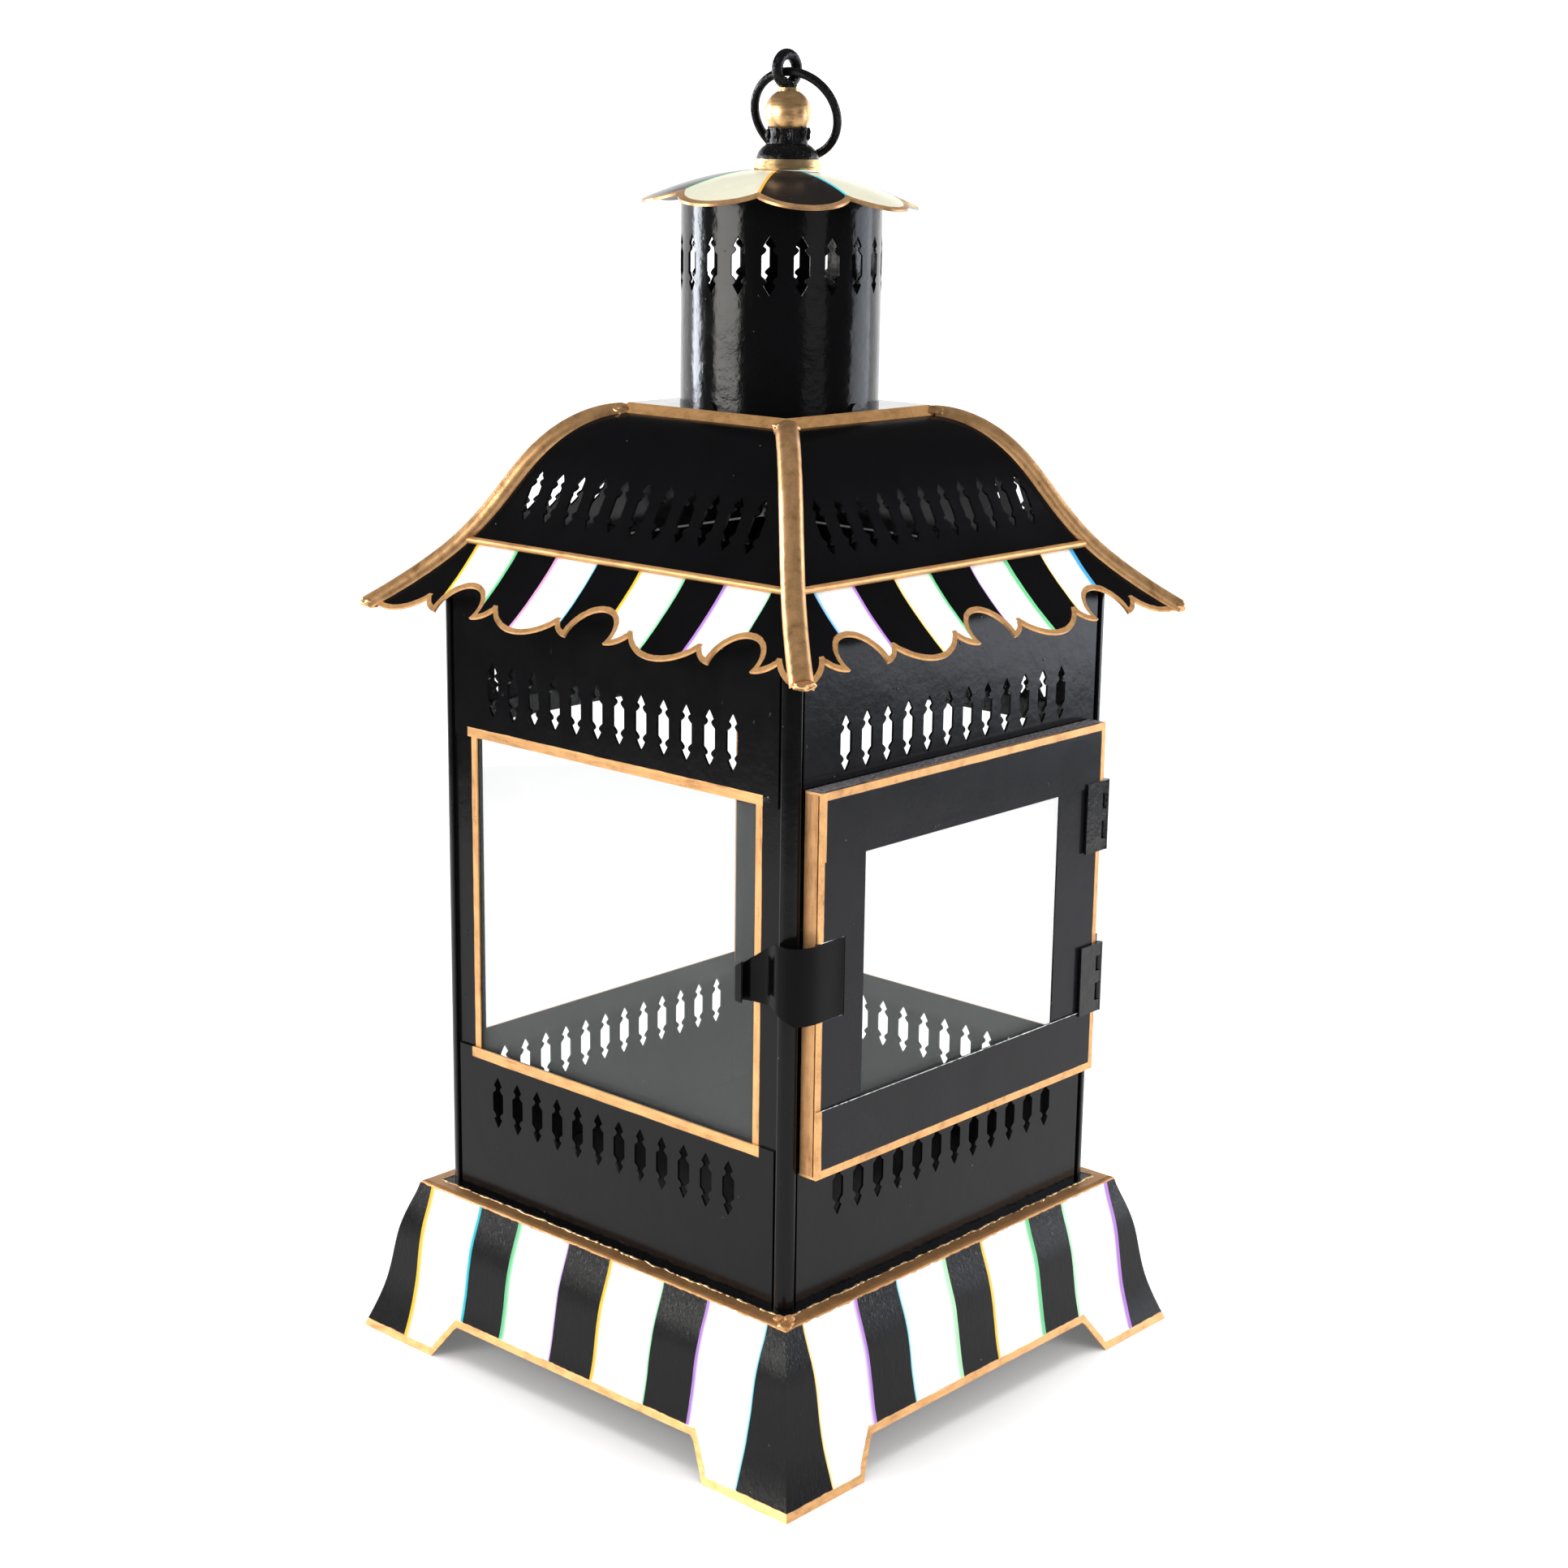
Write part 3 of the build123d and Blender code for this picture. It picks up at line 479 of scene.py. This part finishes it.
def roof_paint(side):
    """Black roof panel; below the bead a striped valance with a gold edge."""
    tree = Tree(f"roof_{side}")
    along, outward = side_axes(tree, side)
    edge = wobble(tree, along, 0.35, 0.06)
    paint, cover = striped(tree, edge, VALANCE_STRIPES[side], STRIPE_REACH, 1.0)
    fall, run = math.sin(VALANCE_SLOPE), math.cos(VALANCE_SLOPE)
    away = [v * fall for v in OUTWARD[side]]
    outer = tree.facing((away[0], away[1], run), -0.5)
    lower = tree.mul(tree.below(tree.z, BEAD_LINE, 0.1), outer)
    rise = tree.add(
        tree.mul(tree.sub(outward, VALANCE_AT[0]), -run),
        tree.mul(tree.sub(tree.z, VALANCE_AT[1]), fall),
    )
    fold = tree.math("PINGPONG", tree.sub(along, SHIFT[side]), ARCH_HALF_PITCH)
    width = wobble(tree, 1.9, 0.3, 0.35)
    arch = tree.below(tree.size(tree.sub(tree.length(fold, tree.add(rise, 1.75)), 9.75)), width)
    from_lobe = tree.length(tree.sub(fold, ARCH_HALF_PITCH), tree.sub(rise, 12.73))
    lobe = tree.both(
        tree.above(from_lobe, tree.sub(20.33, width)),
        tree.both(tree.above(fold, 16.2, 0.1), tree.below(rise, 2.2, 0.1)),
    )
    tooth = tree.both(
        tree.above(tree.length(tree.sub(fold, 9.2), tree.sub(rise, 4.4)), tree.sub(9.4, width)),
        tree.both(tree.below(fold, 18.6, 0.1), tree.below(rise, 0.8, 0.1)),
    )
    mask = tree.either(arch, tree.either(lobe, tooth))
    mask = tree.mul(tree.both(mask, tree.below(tree.z, VALANCE_TOP, 0.2)), outer)
    black, black_rough = tree.black_paint(BLACK, 0.12)
    body = tree.mix(tree.both(cover, lower), black, paint)
    gold, gold_rough = tree.gold_paint((1.0, 1.0, 1.0))
    strokes = tree.noise(0.8, 4.0, 0.7, tree.stretch((0.6, 0.6, 0.25)))
    tree.peel(0.8, [(tree.mul(strokes, lower), 0.12, 0.35), (mask, 0.12, 0.5)])
    rough = tree.blend(mask, tree.blend(tree.both(cover, lower), black_rough, 0.24), gold_rough)
    return tree.finish(tree.mix(mask, body, gold), rough, tree.mul(mask, GOLD_METAL))


def wall_paint(name, side, upper):
    """Panel with a gold border along its window edge."""
    tree = Tree(name)
    along, outward = side_axes(tree, side)
    reach = tree.below(tree.size(along), WINDOW_SIDE, 0.2)
    height = wobble(tree, tree.z, 0.25, 0.1)
    edge = tree.below(height, LINTEL_BORDER) if upper else tree.above(height, SILL_BORDER)
    edge = tree.both(edge, tree.above(outward, 84.7, 0.05))
    return two_paints(tree, tree.both(reach, edge), (0.12, 0.12, 1.0))


def post_paint():
    """Black post whose legs have gold window edges."""
    tree = Tree("post_enamel")
    inner = tree.math("MINIMUM", tree.size(tree.x), tree.size(tree.y))
    mask = tree.below(wobble(tree, inner, 0.25, 0.1), 71.9)
    window = tree.both(tree.above(tree.z, 112.0), tree.below(tree.z, LINTEL_BORDER))
    outer = tree.above(tree.math("MAXIMUM", tree.size(tree.x), tree.size(tree.y)), 83.9, 0.05)
    return two_paints(tree, tree.both(outer, tree.both(mask, window)), (1.0, 1.0, 0.12))


def door_paint(name, left=None, right=None, low=None, high=None):
    """Door strip with a narrow gold rim on the given outer edges."""
    tree = Tree(name)
    x = wobble(tree, tree.x, 0.2, 0.15)
    z = wobble(tree, tree.z, 0.2, 0.15)
    mask = tree.below(x, left) if left is not None else None
    if right is not None:
        edge = tree.above(x, right)
        mask = edge if mask is None else tree.either(mask, edge)
    if low is not None:
        mask = tree.either(mask, tree.below(z, low))
    if high is not None:
        mask = tree.either(mask, tree.above(z, high))
    return two_paints(tree, mask, (0.3, 0.3, 0.3), (0.0075, 0.0075, 0.0090), 0.17)


def case_top_paint():
    """Rough upper face painted dark grey as painted shade, light flecks as painted glints; gold only
    along the front edge.
    """
    tree = Tree("case_top")
    gold, gold_rough = tree.gold_paint((0.3, 0.3, 1.0))
    upper = tree.facing((0, 0, 1), 0.5)
    grain = tree.noise(1.1, 4.0, 0.8, tree.stretch((0.5, 1.0, 1.0)))
    # The upper face is painted dark grey as painted shade, and its light flecks are painted glints.
    dark = tree.ramp(
        grain,
        [(0.40, (0.08, 0.075, 0.08)), (0.58, (0.36, 0.34, 0.36)), (0.68, (0.85, 0.83, 0.80))],
    )
    tree.bump([(grain, 0.3, 0.8)])
    rough = tree.blend(upper, gold_rough, 0.4)
    return tree.finish(tree.mix(upper, gold, dark), rough, tree.mul(tree.sub(1.0, upper), GOLD_METAL))


def case_side_paint(name):
    """Gold side of the door case, darkened along the gap behind the front sheet as painted shade."""
    tree = Tree(f"case_{name}")
    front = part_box(f"door_case_{name}")[0].y / MM
    gold, gold_rough = tree.gold_paint((1.0, 1.0, 0.12), (0.28, 0.120, 0.045), (0.62, 0.34, 0.15))
    # Painted shade in the gap behind the front sheet: the gold is darkened along the front edge.
    gap_shade = tree.below(wobble(tree, tree.y, 0.15, 0.3), front + 0.45, 0.15)
    colour = tree.mix(tree.mul(gap_shade, 0.85), gold, (0.030, 0.012, 0.005))
    strokes = tree.noise(0.9, 3.0, 0.6, tree.stretch((1.0, 1.0, 0.12)))
    tree.bump([(strokes, 0.14, 0.6), (tree.noise(0.10, 2.0, 0.5), 0.9, 0.25)])
    return tree.finish(colour, gold_rough, GOLD_METAL)


def plate_paint():
    """Black roof plate with a gold border over its sloping rim."""
    tree = Tree("plate_paint")
    reach = tree.either(tree.size(tree.x), tree.size(tree.y))
    mask = tree.above(wobble(tree, reach, 0.2, 0.2), PLATE_BORDER)
    return two_paints(tree, mask, (0.4, 0.4, 1.0))


def cap_paint():
    """Petals in turn cream and black, thin coloured lines between, gold rim."""
    tree = Tree("cap_paint")
    angle = tree.math("ARCTAN2", tree.y, tree.x)
    turn = tree.math("DIVIDE", tree.add(angle, math.radians(149.0)), PETAL_ANGLE)
    turn = tree.math("WRAP", turn, PETALS, 0.0)
    radius = tree.length(tree.x, tree.y)
    from_mid = tree.mul(tree.sub(tree.math("FRACT", turn), 0.5), PETAL_ANGLE)
    side = tree.mul(radius, tree.math("SINE", from_mid))
    out = tree.mul(radius, tree.math("COSINE", from_mid))
    width = wobble(tree, 2.0, 0.25, 0.3)
    rim = tree.above(tree.length(tree.sub(out, 31.75), side), tree.sub(17.55, width))
    rim = tree.both(rim, tree.above(out, 33.0, 0.2))
    zero = (0.0, 0.0, 0.0)
    one = (1.0, 1.0, 1.0)
    cream = tree.ramp(
        tree.math("DIVIDE", turn, PETALS),
        [(i / PETALS, one if i % 2 else zero) for i in range(PETALS)],
        "CONSTANT",
    )
    half_gap = tree.mul(radius, tree.math("MULTIPLY", tree.math("PINGPONG", turn, 0.5), PETAL_ANGLE))
    line = tree.below(half_gap, 0.55, 0.1)
    names = ("cyan", "green", "yellow", "purple", "blue", "pink", "green", "orange")
    shifted = tree.math("WRAP", tree.sub(turn, 0.5), PETALS, 0.0)
    tint = tree.ramp(
        tree.math("DIVIDE", shifted, PETALS),
        [(i / PETALS, LINES[n]) for i, n in enumerate(names)],
        "CONSTANT",
    )
    shade = tree.ramp(tree.noise(0.12, 3.0, 0.6), [(0.3, (0.54, 0.53, 0.42)), (0.7, CREAM)])
    black, black_rough = tree.black_paint((0.012, 0.010, 0.009), 0.2)
    body = tree.mix(line, tree.mix(cream, black, shade), tint)
    gold, gold_rough = tree.gold_paint((1.0, 1.0, 1.0), (0.20, 0.10, 0.045), (0.52, 0.30, 0.14))
    upper = tree.facing((0, 0, 1), -0.3)
    body = tree.mix(upper, black, body)
    mask = tree.mul(rim, upper)
    tree.peel(1.0, [(tree.mul(cream, upper), 0.10, 0.5), (mask, 0.12, 0.5)])
    rough = tree.blend(mask, black_rough, gold_rough)
    return tree.finish(tree.mix(mask, body, gold), rough, tree.mul(mask, GOLD_METAL))


# ---------------------------------------------------------------- dress the CAD nodes
black_chimney = plain_black("enamel_chimney", 2.8, 0.10)
black_inside = plain_black("enamel_floor", 0.8, 0.20, (0.010, 0.010, 0.011))
black_spring = plain_black("enamel_latch", 1.0, 0.09, (0.002, 0.002, 0.002), 0.07)
black_hinge = plain_black("enamel_hinge", 4.0, 0.12, (0.006, 0.006, 0.0065), 0.3)
black_cast = cast_black("enamel_cast")
gold_level = plain_gold("gold_level", (0.15, 0.15, 1.0))
gold_rib = plain_gold("gold_rib", (0.45, 0.45, 0.35), (0.34, 0.155, 0.060), (0.86, 0.50, 0.23), 0.8)
gold_ball = plain_gold("gold_ball", (0.22, 0.22, 1.5), (0.42, 0.21, 0.085), (0.95, 0.60, 0.30), 0.85)
gold_collar = plain_gold("gold_collar", (0.3, 0.3, 1.3), (0.50, 0.30, 0.12), (0.95, 0.68, 0.34), 0.95)
window_glass = glass("window_glass")

for side in ("front", "right", "back", "left"):
    dress(f"skirt_panel_{side}", skirt_paint(side), 0.25)
    dress(f"roof_panel_{side}", roof_paint(side), THIN_EDGE)
    dress(f"upper_panel_{side}", wall_paint(f"upper_{side}", side, True), 0.16)
    dress(f"lower_panel_{side}", wall_paint(f"lower_{side}", side, False), 0.16)
    dress(f"trim_bead_{side}", gold_level, 0.0)
post_enamel = post_paint()
for corner in ("front_left", "front_right", "back_right", "back_left"):
    dress(f"corner_post_{corner}", post_enamel, THIN_EDGE)
    dress(f"hip_rib_{corner}", gold_rib, 0.25)
for side in ("left", "back", "right"):
    dress(f"window_pane_{side}", window_glass, 0.0)
dress("floor_plate", black_inside, 0.0)
dress("roof_top_plate", plate_paint(), 0.15)
dress("chimney", black_chimney, 0.14)
dress("chimney_tabs", black_chimney, 0.2)
dress("cap", cap_paint(), THIN_EDGE)
dress("finial_collar", gold_collar, 0.25, 3)
dress("finial_dome", black_cast, 0.2)
dress("finial_neck", black_cast, 0.3)
dress("finial_ball", gold_ball, 0.0)
dress("ball_collar", gold_collar, 0.25)
dress("eyelet", black_cast, 0.3)
dress("ring", black_cast, 0.0)
dress("door_top_rail", door_paint("door_top", DOOR_LEFT, DOOR_RIGHT, None, DOOR_HIGH), THIN_EDGE)
dress("door_bottom_rail", door_paint("door_bottom", DOOR_LEFT, DOOR_RIGHT, DOOR_LOW, None), THIN_EDGE)
dress("door_left_stile", door_paint("door_left", DOOR_LEFT), THIN_EDGE)
dress("door_right_stile", door_paint("door_right", None, DOOR_RIGHT), THIN_EDGE)
for name in ("left", "right"):
    dress(f"door_case_{name}", case_side_paint(name), THIN_EDGE)
dress("door_case_top", case_top_paint(), THIN_EDGE)
dress("door_case_bottom", gold_level, THIN_EDGE)
dress("door_pane", window_glass, 0.0)
dress("latch_spring", black_spring, 0.15)
dress("hinge_pins", black_hinge, 0.0)
for name in ("lower", "upper"):
    dress(f"hinge_door_leaf_{name}", black_hinge, 0.2)
    dress(f"hinge_body_leaf_{name}", black_hinge, 0.2)


# ---------------------------------------------------------------- small hand-made details
def blob(name, centre, radii, material, body, seed, rough=0.28):
    """A lump of solder or paint: a round mesh with smooth random lumps."""
    mesh = bpy.data.meshes.new(name)
    bm = bmesh.new()
    bmesh.ops.create_icosphere(bm, subdivisions=4, radius=1.0)
    offset = Vector((seed * 7.3, seed * 3.1, seed * 5.7))
    for vert in bm.verts:
        lump = noise.noise(vert.co * 1.3 + offset) + 0.4 * noise.noise(vert.co * 3.1 + offset)
        vert.co = vert.co * (1.0 + rough * lump)
        vert.co = Vector([vert.co[i] * radii[i] * MM + centre[i] * MM for i in range(3)])
    for face in bm.faces:
        face.smooth = True
    bm.to_mesh(mesh)
    bm.free()
    obj = bpy.data.objects.new(name, mesh)
    bpy.context.scene.collection.objects.link(obj)
    wear(material, obj)
    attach(obj, body)


def trace(name, points, radius, material, body, lumps=0.0, seed=0):
    """A thin tube along given points, in millimetres, with an uneven radius."""
    curve = bpy.data.curves.new(name, "CURVE")
    curve.dimensions = "3D"
    curve.bevel_depth = radius * MM
    curve.bevel_resolution = 3
    curve.use_fill_caps = True
    spline = curve.splines.new("POLY")
    spline.points.add(len(points) - 1)
    for index, point in enumerate(points):
        spline.points[index].co = (*[v * MM for v in point], 1.0)
        wave = noise.noise(Vector((index * 0.63, seed * 5.1, 0.4)))
        spline.points[index].radius = max(0.15, 1.0 + lumps * wave)
    maker = bpy.data.objects.new(name + "_curve", curve)
    bpy.context.scene.collection.objects.link(maker)
    mesh = bpy.data.meshes.new_from_object(maker)
    bpy.data.objects.remove(maker)
    mesh.name = name
    for face in mesh.polygons:
        face.use_smooth = True
    obj = bpy.data.objects.new(name, mesh)
    bpy.context.scene.collection.objects.link(obj)
    wear(material, obj)
    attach(obj, body)


bronze_ridge = plain_gold("bronze_ridge", (1.0, 1.0, 1.0), (0.20, 0.09, 0.03), (0.85, 0.60, 0.33))
RIDGE_STEPS = 224
RIDGE_REACH = 87.8
RIDGE_OUT = 88.4
RIDGE_Z = 59.38
for index, side in enumerate(("front", "right", "back", "left")):
    turn = math.radians(90 * index)
    line = []
    for step in range(RIDGE_STEPS + 1):
        run = -RIDGE_REACH + step * 2 * RIDGE_REACH / RIDGE_STEPS
        out = RIDGE_OUT + 1.1 * noise.noise(Vector((run * 0.21, index * 3.7, 1.9)))
        x = run * math.cos(turn) + out * math.sin(turn)
        y = run * math.sin(turn) - out * math.cos(turn)
        line.append((x, y, RIDGE_Z))
    trace(f"paint_ridge_{side}", line, 0.34, bronze_ridge, "lantern", 1.5, index)

blob("panel_step", (-85.1, -74.9, 237.0), (0.7, 2.1, 1.3), black_cast, "lantern", 61, 0.4)
CORNER_SOLDER = {
    "a": ((-91.6, -91.8, 59.2), (2.8, 2.4, 1.5)),
    "b": ((-88.7, -90.6, 59.9), (2.1, 1.9, 1.4)),
    "c": ((-90.4, -87.6, 59.8), (1.9, 1.7, 1.2)),
}
for seed, (letter, (spot, radii)) in enumerate(CORNER_SOLDER.items(), 1):
    blob(f"solder_corner_{letter}", spot, radii, gold_level, "lantern", seed)

PLATE_CORNER = 39.6
PLATE_CORNER_Z = 351.6
for index, (x, y) in enumerate(((-1, -1), (-1, 1), (1, -1), (1, 1))):
    spot = (PLATE_CORNER * x, PLATE_CORNER * y, PLATE_CORNER_Z)
    blob(f"plate_corner_{index}", spot, (4.4, 4.4, 2.5), gold_rib, "lantern", 41 + index)

RIB_TIPS = ((-102.3, -105.0), (-103.6, 103.6), (103.6, -103.6), (103.6, 103.6))
RIB_TIP_Z = 282.0
for index, (x, y) in enumerate(RIB_TIPS):
    blob(f"rib_tip_{index}", (x, y, RIB_TIP_Z), (3.7, 3.7, 2.1), gold_rib, "lantern", 51 + index)


def middle(box):
    """(x, y) of the middle of a node's box, in millimetres."""
    low, high = box
    return (low.x + high.x) / 2 / MM, (low.y + high.y) / 2 / MM


NECK_RADIUS = 6.7
NECK_Z = 447.6
neck_x, neck_y = middle(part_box("finial_neck"))
for index in range(9):
    angle = math.radians(-170 + 40 * index + 13 * noise.noise(Vector((index * 1.7, 0.3, 0.9))))
    high = NECK_Z + 0.8 * noise.noise(Vector((index * 2.9, 4.1, 0.2)))
    spot = (neck_x + NECK_RADIUS * math.cos(angle), neck_y + NECK_RADIUS * math.sin(angle), high)
    blob(f"neck_lump_{index}", spot, (1.15, 1.15, 2.5), black_cast, "lantern", 4 + index, 0.45)

# Offsets from the middle of the eyelet, heights and half sizes of its solder.
EYELET_SOLDER = {
    "a": ((0.0, 0.0, 464.9), (3.3, 2.4, 1.6)),
    "b": ((-2.3, -1.1, 465.6), (1.5, 1.2, 1.3)),
    "c": ((2.3, -0.9, 465.4), (1.4, 1.2, 1.5)),
    "d": ((0.4, -2.2, 463.9), (1.9, 1.3, 1.2)),
}
eye_x, eye_y = middle(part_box("eyelet"))
for seed, (letter, ((x, y, z), radii)) in enumerate(EYELET_SOLDER.items(), 21):
    blob(f"eyelet_solder_{letter}", (eye_x + x, eye_y + y, z), radii, black_cast, "lantern", seed, 0.35)

RAIL_START = -79.1
RAIL_STEP = 0.66
RAIL_FRONT = -93.56
RAIL_Z = 131.95
# A near-white metallic line along the top edge of the bottom rail, as a painted highlight on that edge.
rail_highlight = plain_gold("painted_rail_highlight", (0.3, 1.0, 1.0), (0.45, 0.44, 0.42), (0.90, 0.90, 0.88), 0.6)
rail = [(RAIL_START + RAIL_STEP * step, RAIL_FRONT, RAIL_Z) for step in range(236)]
trace("rail_edge", rail, 0.10, rail_highlight, "door", 1.6, 10)

# ---------------------------------------------------------------- studio
scene = bpy.context.scene
scene.view_settings.view_transform = "Standard"
CAMERA_BEARING = -137.84
FLOOR_RADIUS = 0.95
FLOOR_GAP = 0.0001


def bearing(angle, distance, height):
    """A place round the lantern, its angle measured from the camera towards the right."""
    turn = math.radians(CAMERA_BEARING + angle)
    return Vector((distance * math.cos(turn), distance * math.sin(turn), height))


floor_mesh = bpy.data.meshes.new("floor")
bm = bmesh.new()
bmesh.ops.create_circle(bm, cap_ends=True, segments=96, radius=FLOOR_RADIUS)
bm.to_mesh(floor_mesh)
bm.free()
floor = bpy.data.objects.new("floor", floor_mesh)
floor.location.z = -FLOOR_GAP
scene.collection.objects.link(floor)
floor_tree = Tree("floor_white")
grain = floor_tree.noise(0.02, 2.0, 0.5)
floor_colour = floor_tree.mix(grain, (0.91, 0.91, 0.91), (0.93, 0.93, 0.93))
floor_mat = floor_tree.finish(floor_colour, 0.6, 0.0, 0.1)
floor_tree.put(floor_colour, floor_tree.bsdf.inputs["Emission Color"])
floor_tree.bsdf.inputs["Emission Strength"].default_value = 0.14
floor.data.materials.append(floor_mat)

world = bpy.data.worlds.new("studio")
scene.world = world
world.use_nodes = True
tree = world.node_tree
background = tree.nodes["Background"]


def world_node(kind, **settings):
    node = tree.nodes.new(kind)
    for key, value in settings.items():
        setattr(node, key, value)
    return node


def world_mix(factor, low, high):
    node = world_node("ShaderNodeMix", data_type="FLOAT")
    for name, value in (("Factor", factor), ("A", low), ("B", high)):
        if isinstance(value, float):
            node.inputs[name].default_value = value
        else:
            tree.links.new(value, node.inputs[name])
    return node.outputs["Result"]


# Reflections see a white backdrop behind the lantern and a dark studio in front.
path = world_node("ShaderNodeLightPath")
coord = world_node("ShaderNodeTexCoord")
dot = world_node("ShaderNodeVectorMath", operation="DOT_PRODUCT")
tree.links.new(coord.outputs["Generated"], dot.inputs[0])
dot.inputs[1].default_value = bearing(180, 1.0, 0.0)
fade = world_node("ShaderNodeMapRange", interpolation_type="SMOOTHSTEP")
tree.links.new(dot.outputs["Value"], fade.inputs["Value"])
fade.inputs["From Min"].default_value = 0.42
fade.inputs["From Max"].default_value = 0.62
split = world_node("ShaderNodeSeparateXYZ")
tree.links.new(coord.outputs["Generated"], split.inputs[0])
low = world_node("ShaderNodeMapRange", interpolation_type="SMOOTHSTEP")
tree.links.new(split.outputs["Z"], low.inputs["Value"])
low.inputs["From Min"].default_value = 0.45
low.inputs["From Max"].default_value = 0.20
behind = world_mix(fade.outputs["Result"], 0.035, 1.9)
reflected = world_mix(low.outputs["Result"], 0.030, behind)
soft = world_mix(path.outputs["Is Diffuse Ray"], reflected, 0.58)
strength = world_mix(path.outputs["Is Camera Ray"], soft, 1.60)
tree.links.new(strength, background.inputs["Strength"])
background.inputs["Color"].default_value = (1.0, 1.0, 1.0, 1.0)


def softbox(name, place, target, width, height, radiance, sheen, colour=(1.0, 1.0, 1.0)):
    """Rectangular soft light of a given brightness, aimed at a point.

    With sheen it is only seen in reflections, without it only lights paint.
    """
    light = bpy.data.lights.new(name, "AREA")
    light.shape = "RECTANGLE"
    light.color = colour
    light.size = width
    light.size_y = height
    light.energy = radiance * math.pi * width * height
    obj = bpy.data.objects.new(name, light)
    obj.location = place
    aim = Vector(target) - Vector(place)
    obj.rotation_euler = aim.to_track_quat("-Z", "Y").to_euler()
    obj.visible_camera = False
    obj.visible_diffuse = not sheen
    obj.visible_glossy = sheen
    scene.collection.objects.link(obj)


softbox("top", (0.25, 0.25, 2.1), (0, 0, 0.0), 1.7, 1.7, 4.4, False)
softbox("left_fill", bearing(-52, 1.7, 0.9), (0, 0, 0.2), 1.0, 1.0, 3.6, False)
softbox("right_fill", bearing(52, 1.7, 0.9), (0, 0, 0.2), 1.0, 1.0, 3.6, False)
softbox("left_panel", bearing(-63, 1.5, 0.49), (0, 0, 0.45), 0.86, 0.62, 13.5, True, (1.0, 0.98, 0.93))
softbox("left_strip", bearing(-110, 1.5, 0.49), (0, 0, 0.45), 0.36, 0.62, 29.0, True, (0.92, 0.96, 1.04))
softbox("right_panel", bearing(106, 1.5, 0.42), (0, 0, 0.42), 0.90, 0.90, 4.7, True, (0.90, 0.95, 1.05))
softbox("right_soft", bearing(39, 1.6, 0.50), (0, 0, 0.45), 0.72, 0.6, 1.0, True)

# ---------------------------------------------------------------- camera
FOCAL = 3257.8
IMAGE = 1932.0
SENSOR = 36.0
CAMERA_PLACE = (-0.70089, -0.63937, 0.44506)
YAW, PITCH, ROLL = (math.radians(v) for v in (-47.84, 13.65, 0.78))
right = Vector((math.cos(YAW), math.sin(YAW), 0))
back = Vector((math.sin(YAW) * math.cos(PITCH), -math.cos(YAW) * math.cos(PITCH), math.sin(PITCH)))
up = back.cross(right)
across = right * math.cos(ROLL) + up * math.sin(ROLL)
upward = up * math.cos(ROLL) - right * math.sin(ROLL)
place = Vector(CAMERA_PLACE)
camera_data = bpy.data.cameras.new("camera")
camera_data.sensor_width = SENSOR
camera_data.lens = FOCAL * SENSOR / IMAGE
camera = bpy.data.objects.new("camera", camera_data)
turn = Matrix((across, upward, back)).transposed().to_4x4()
camera.matrix_world = Matrix.Translation(place) @ turn
scene.collection.objects.link(camera)
scene.camera = camera
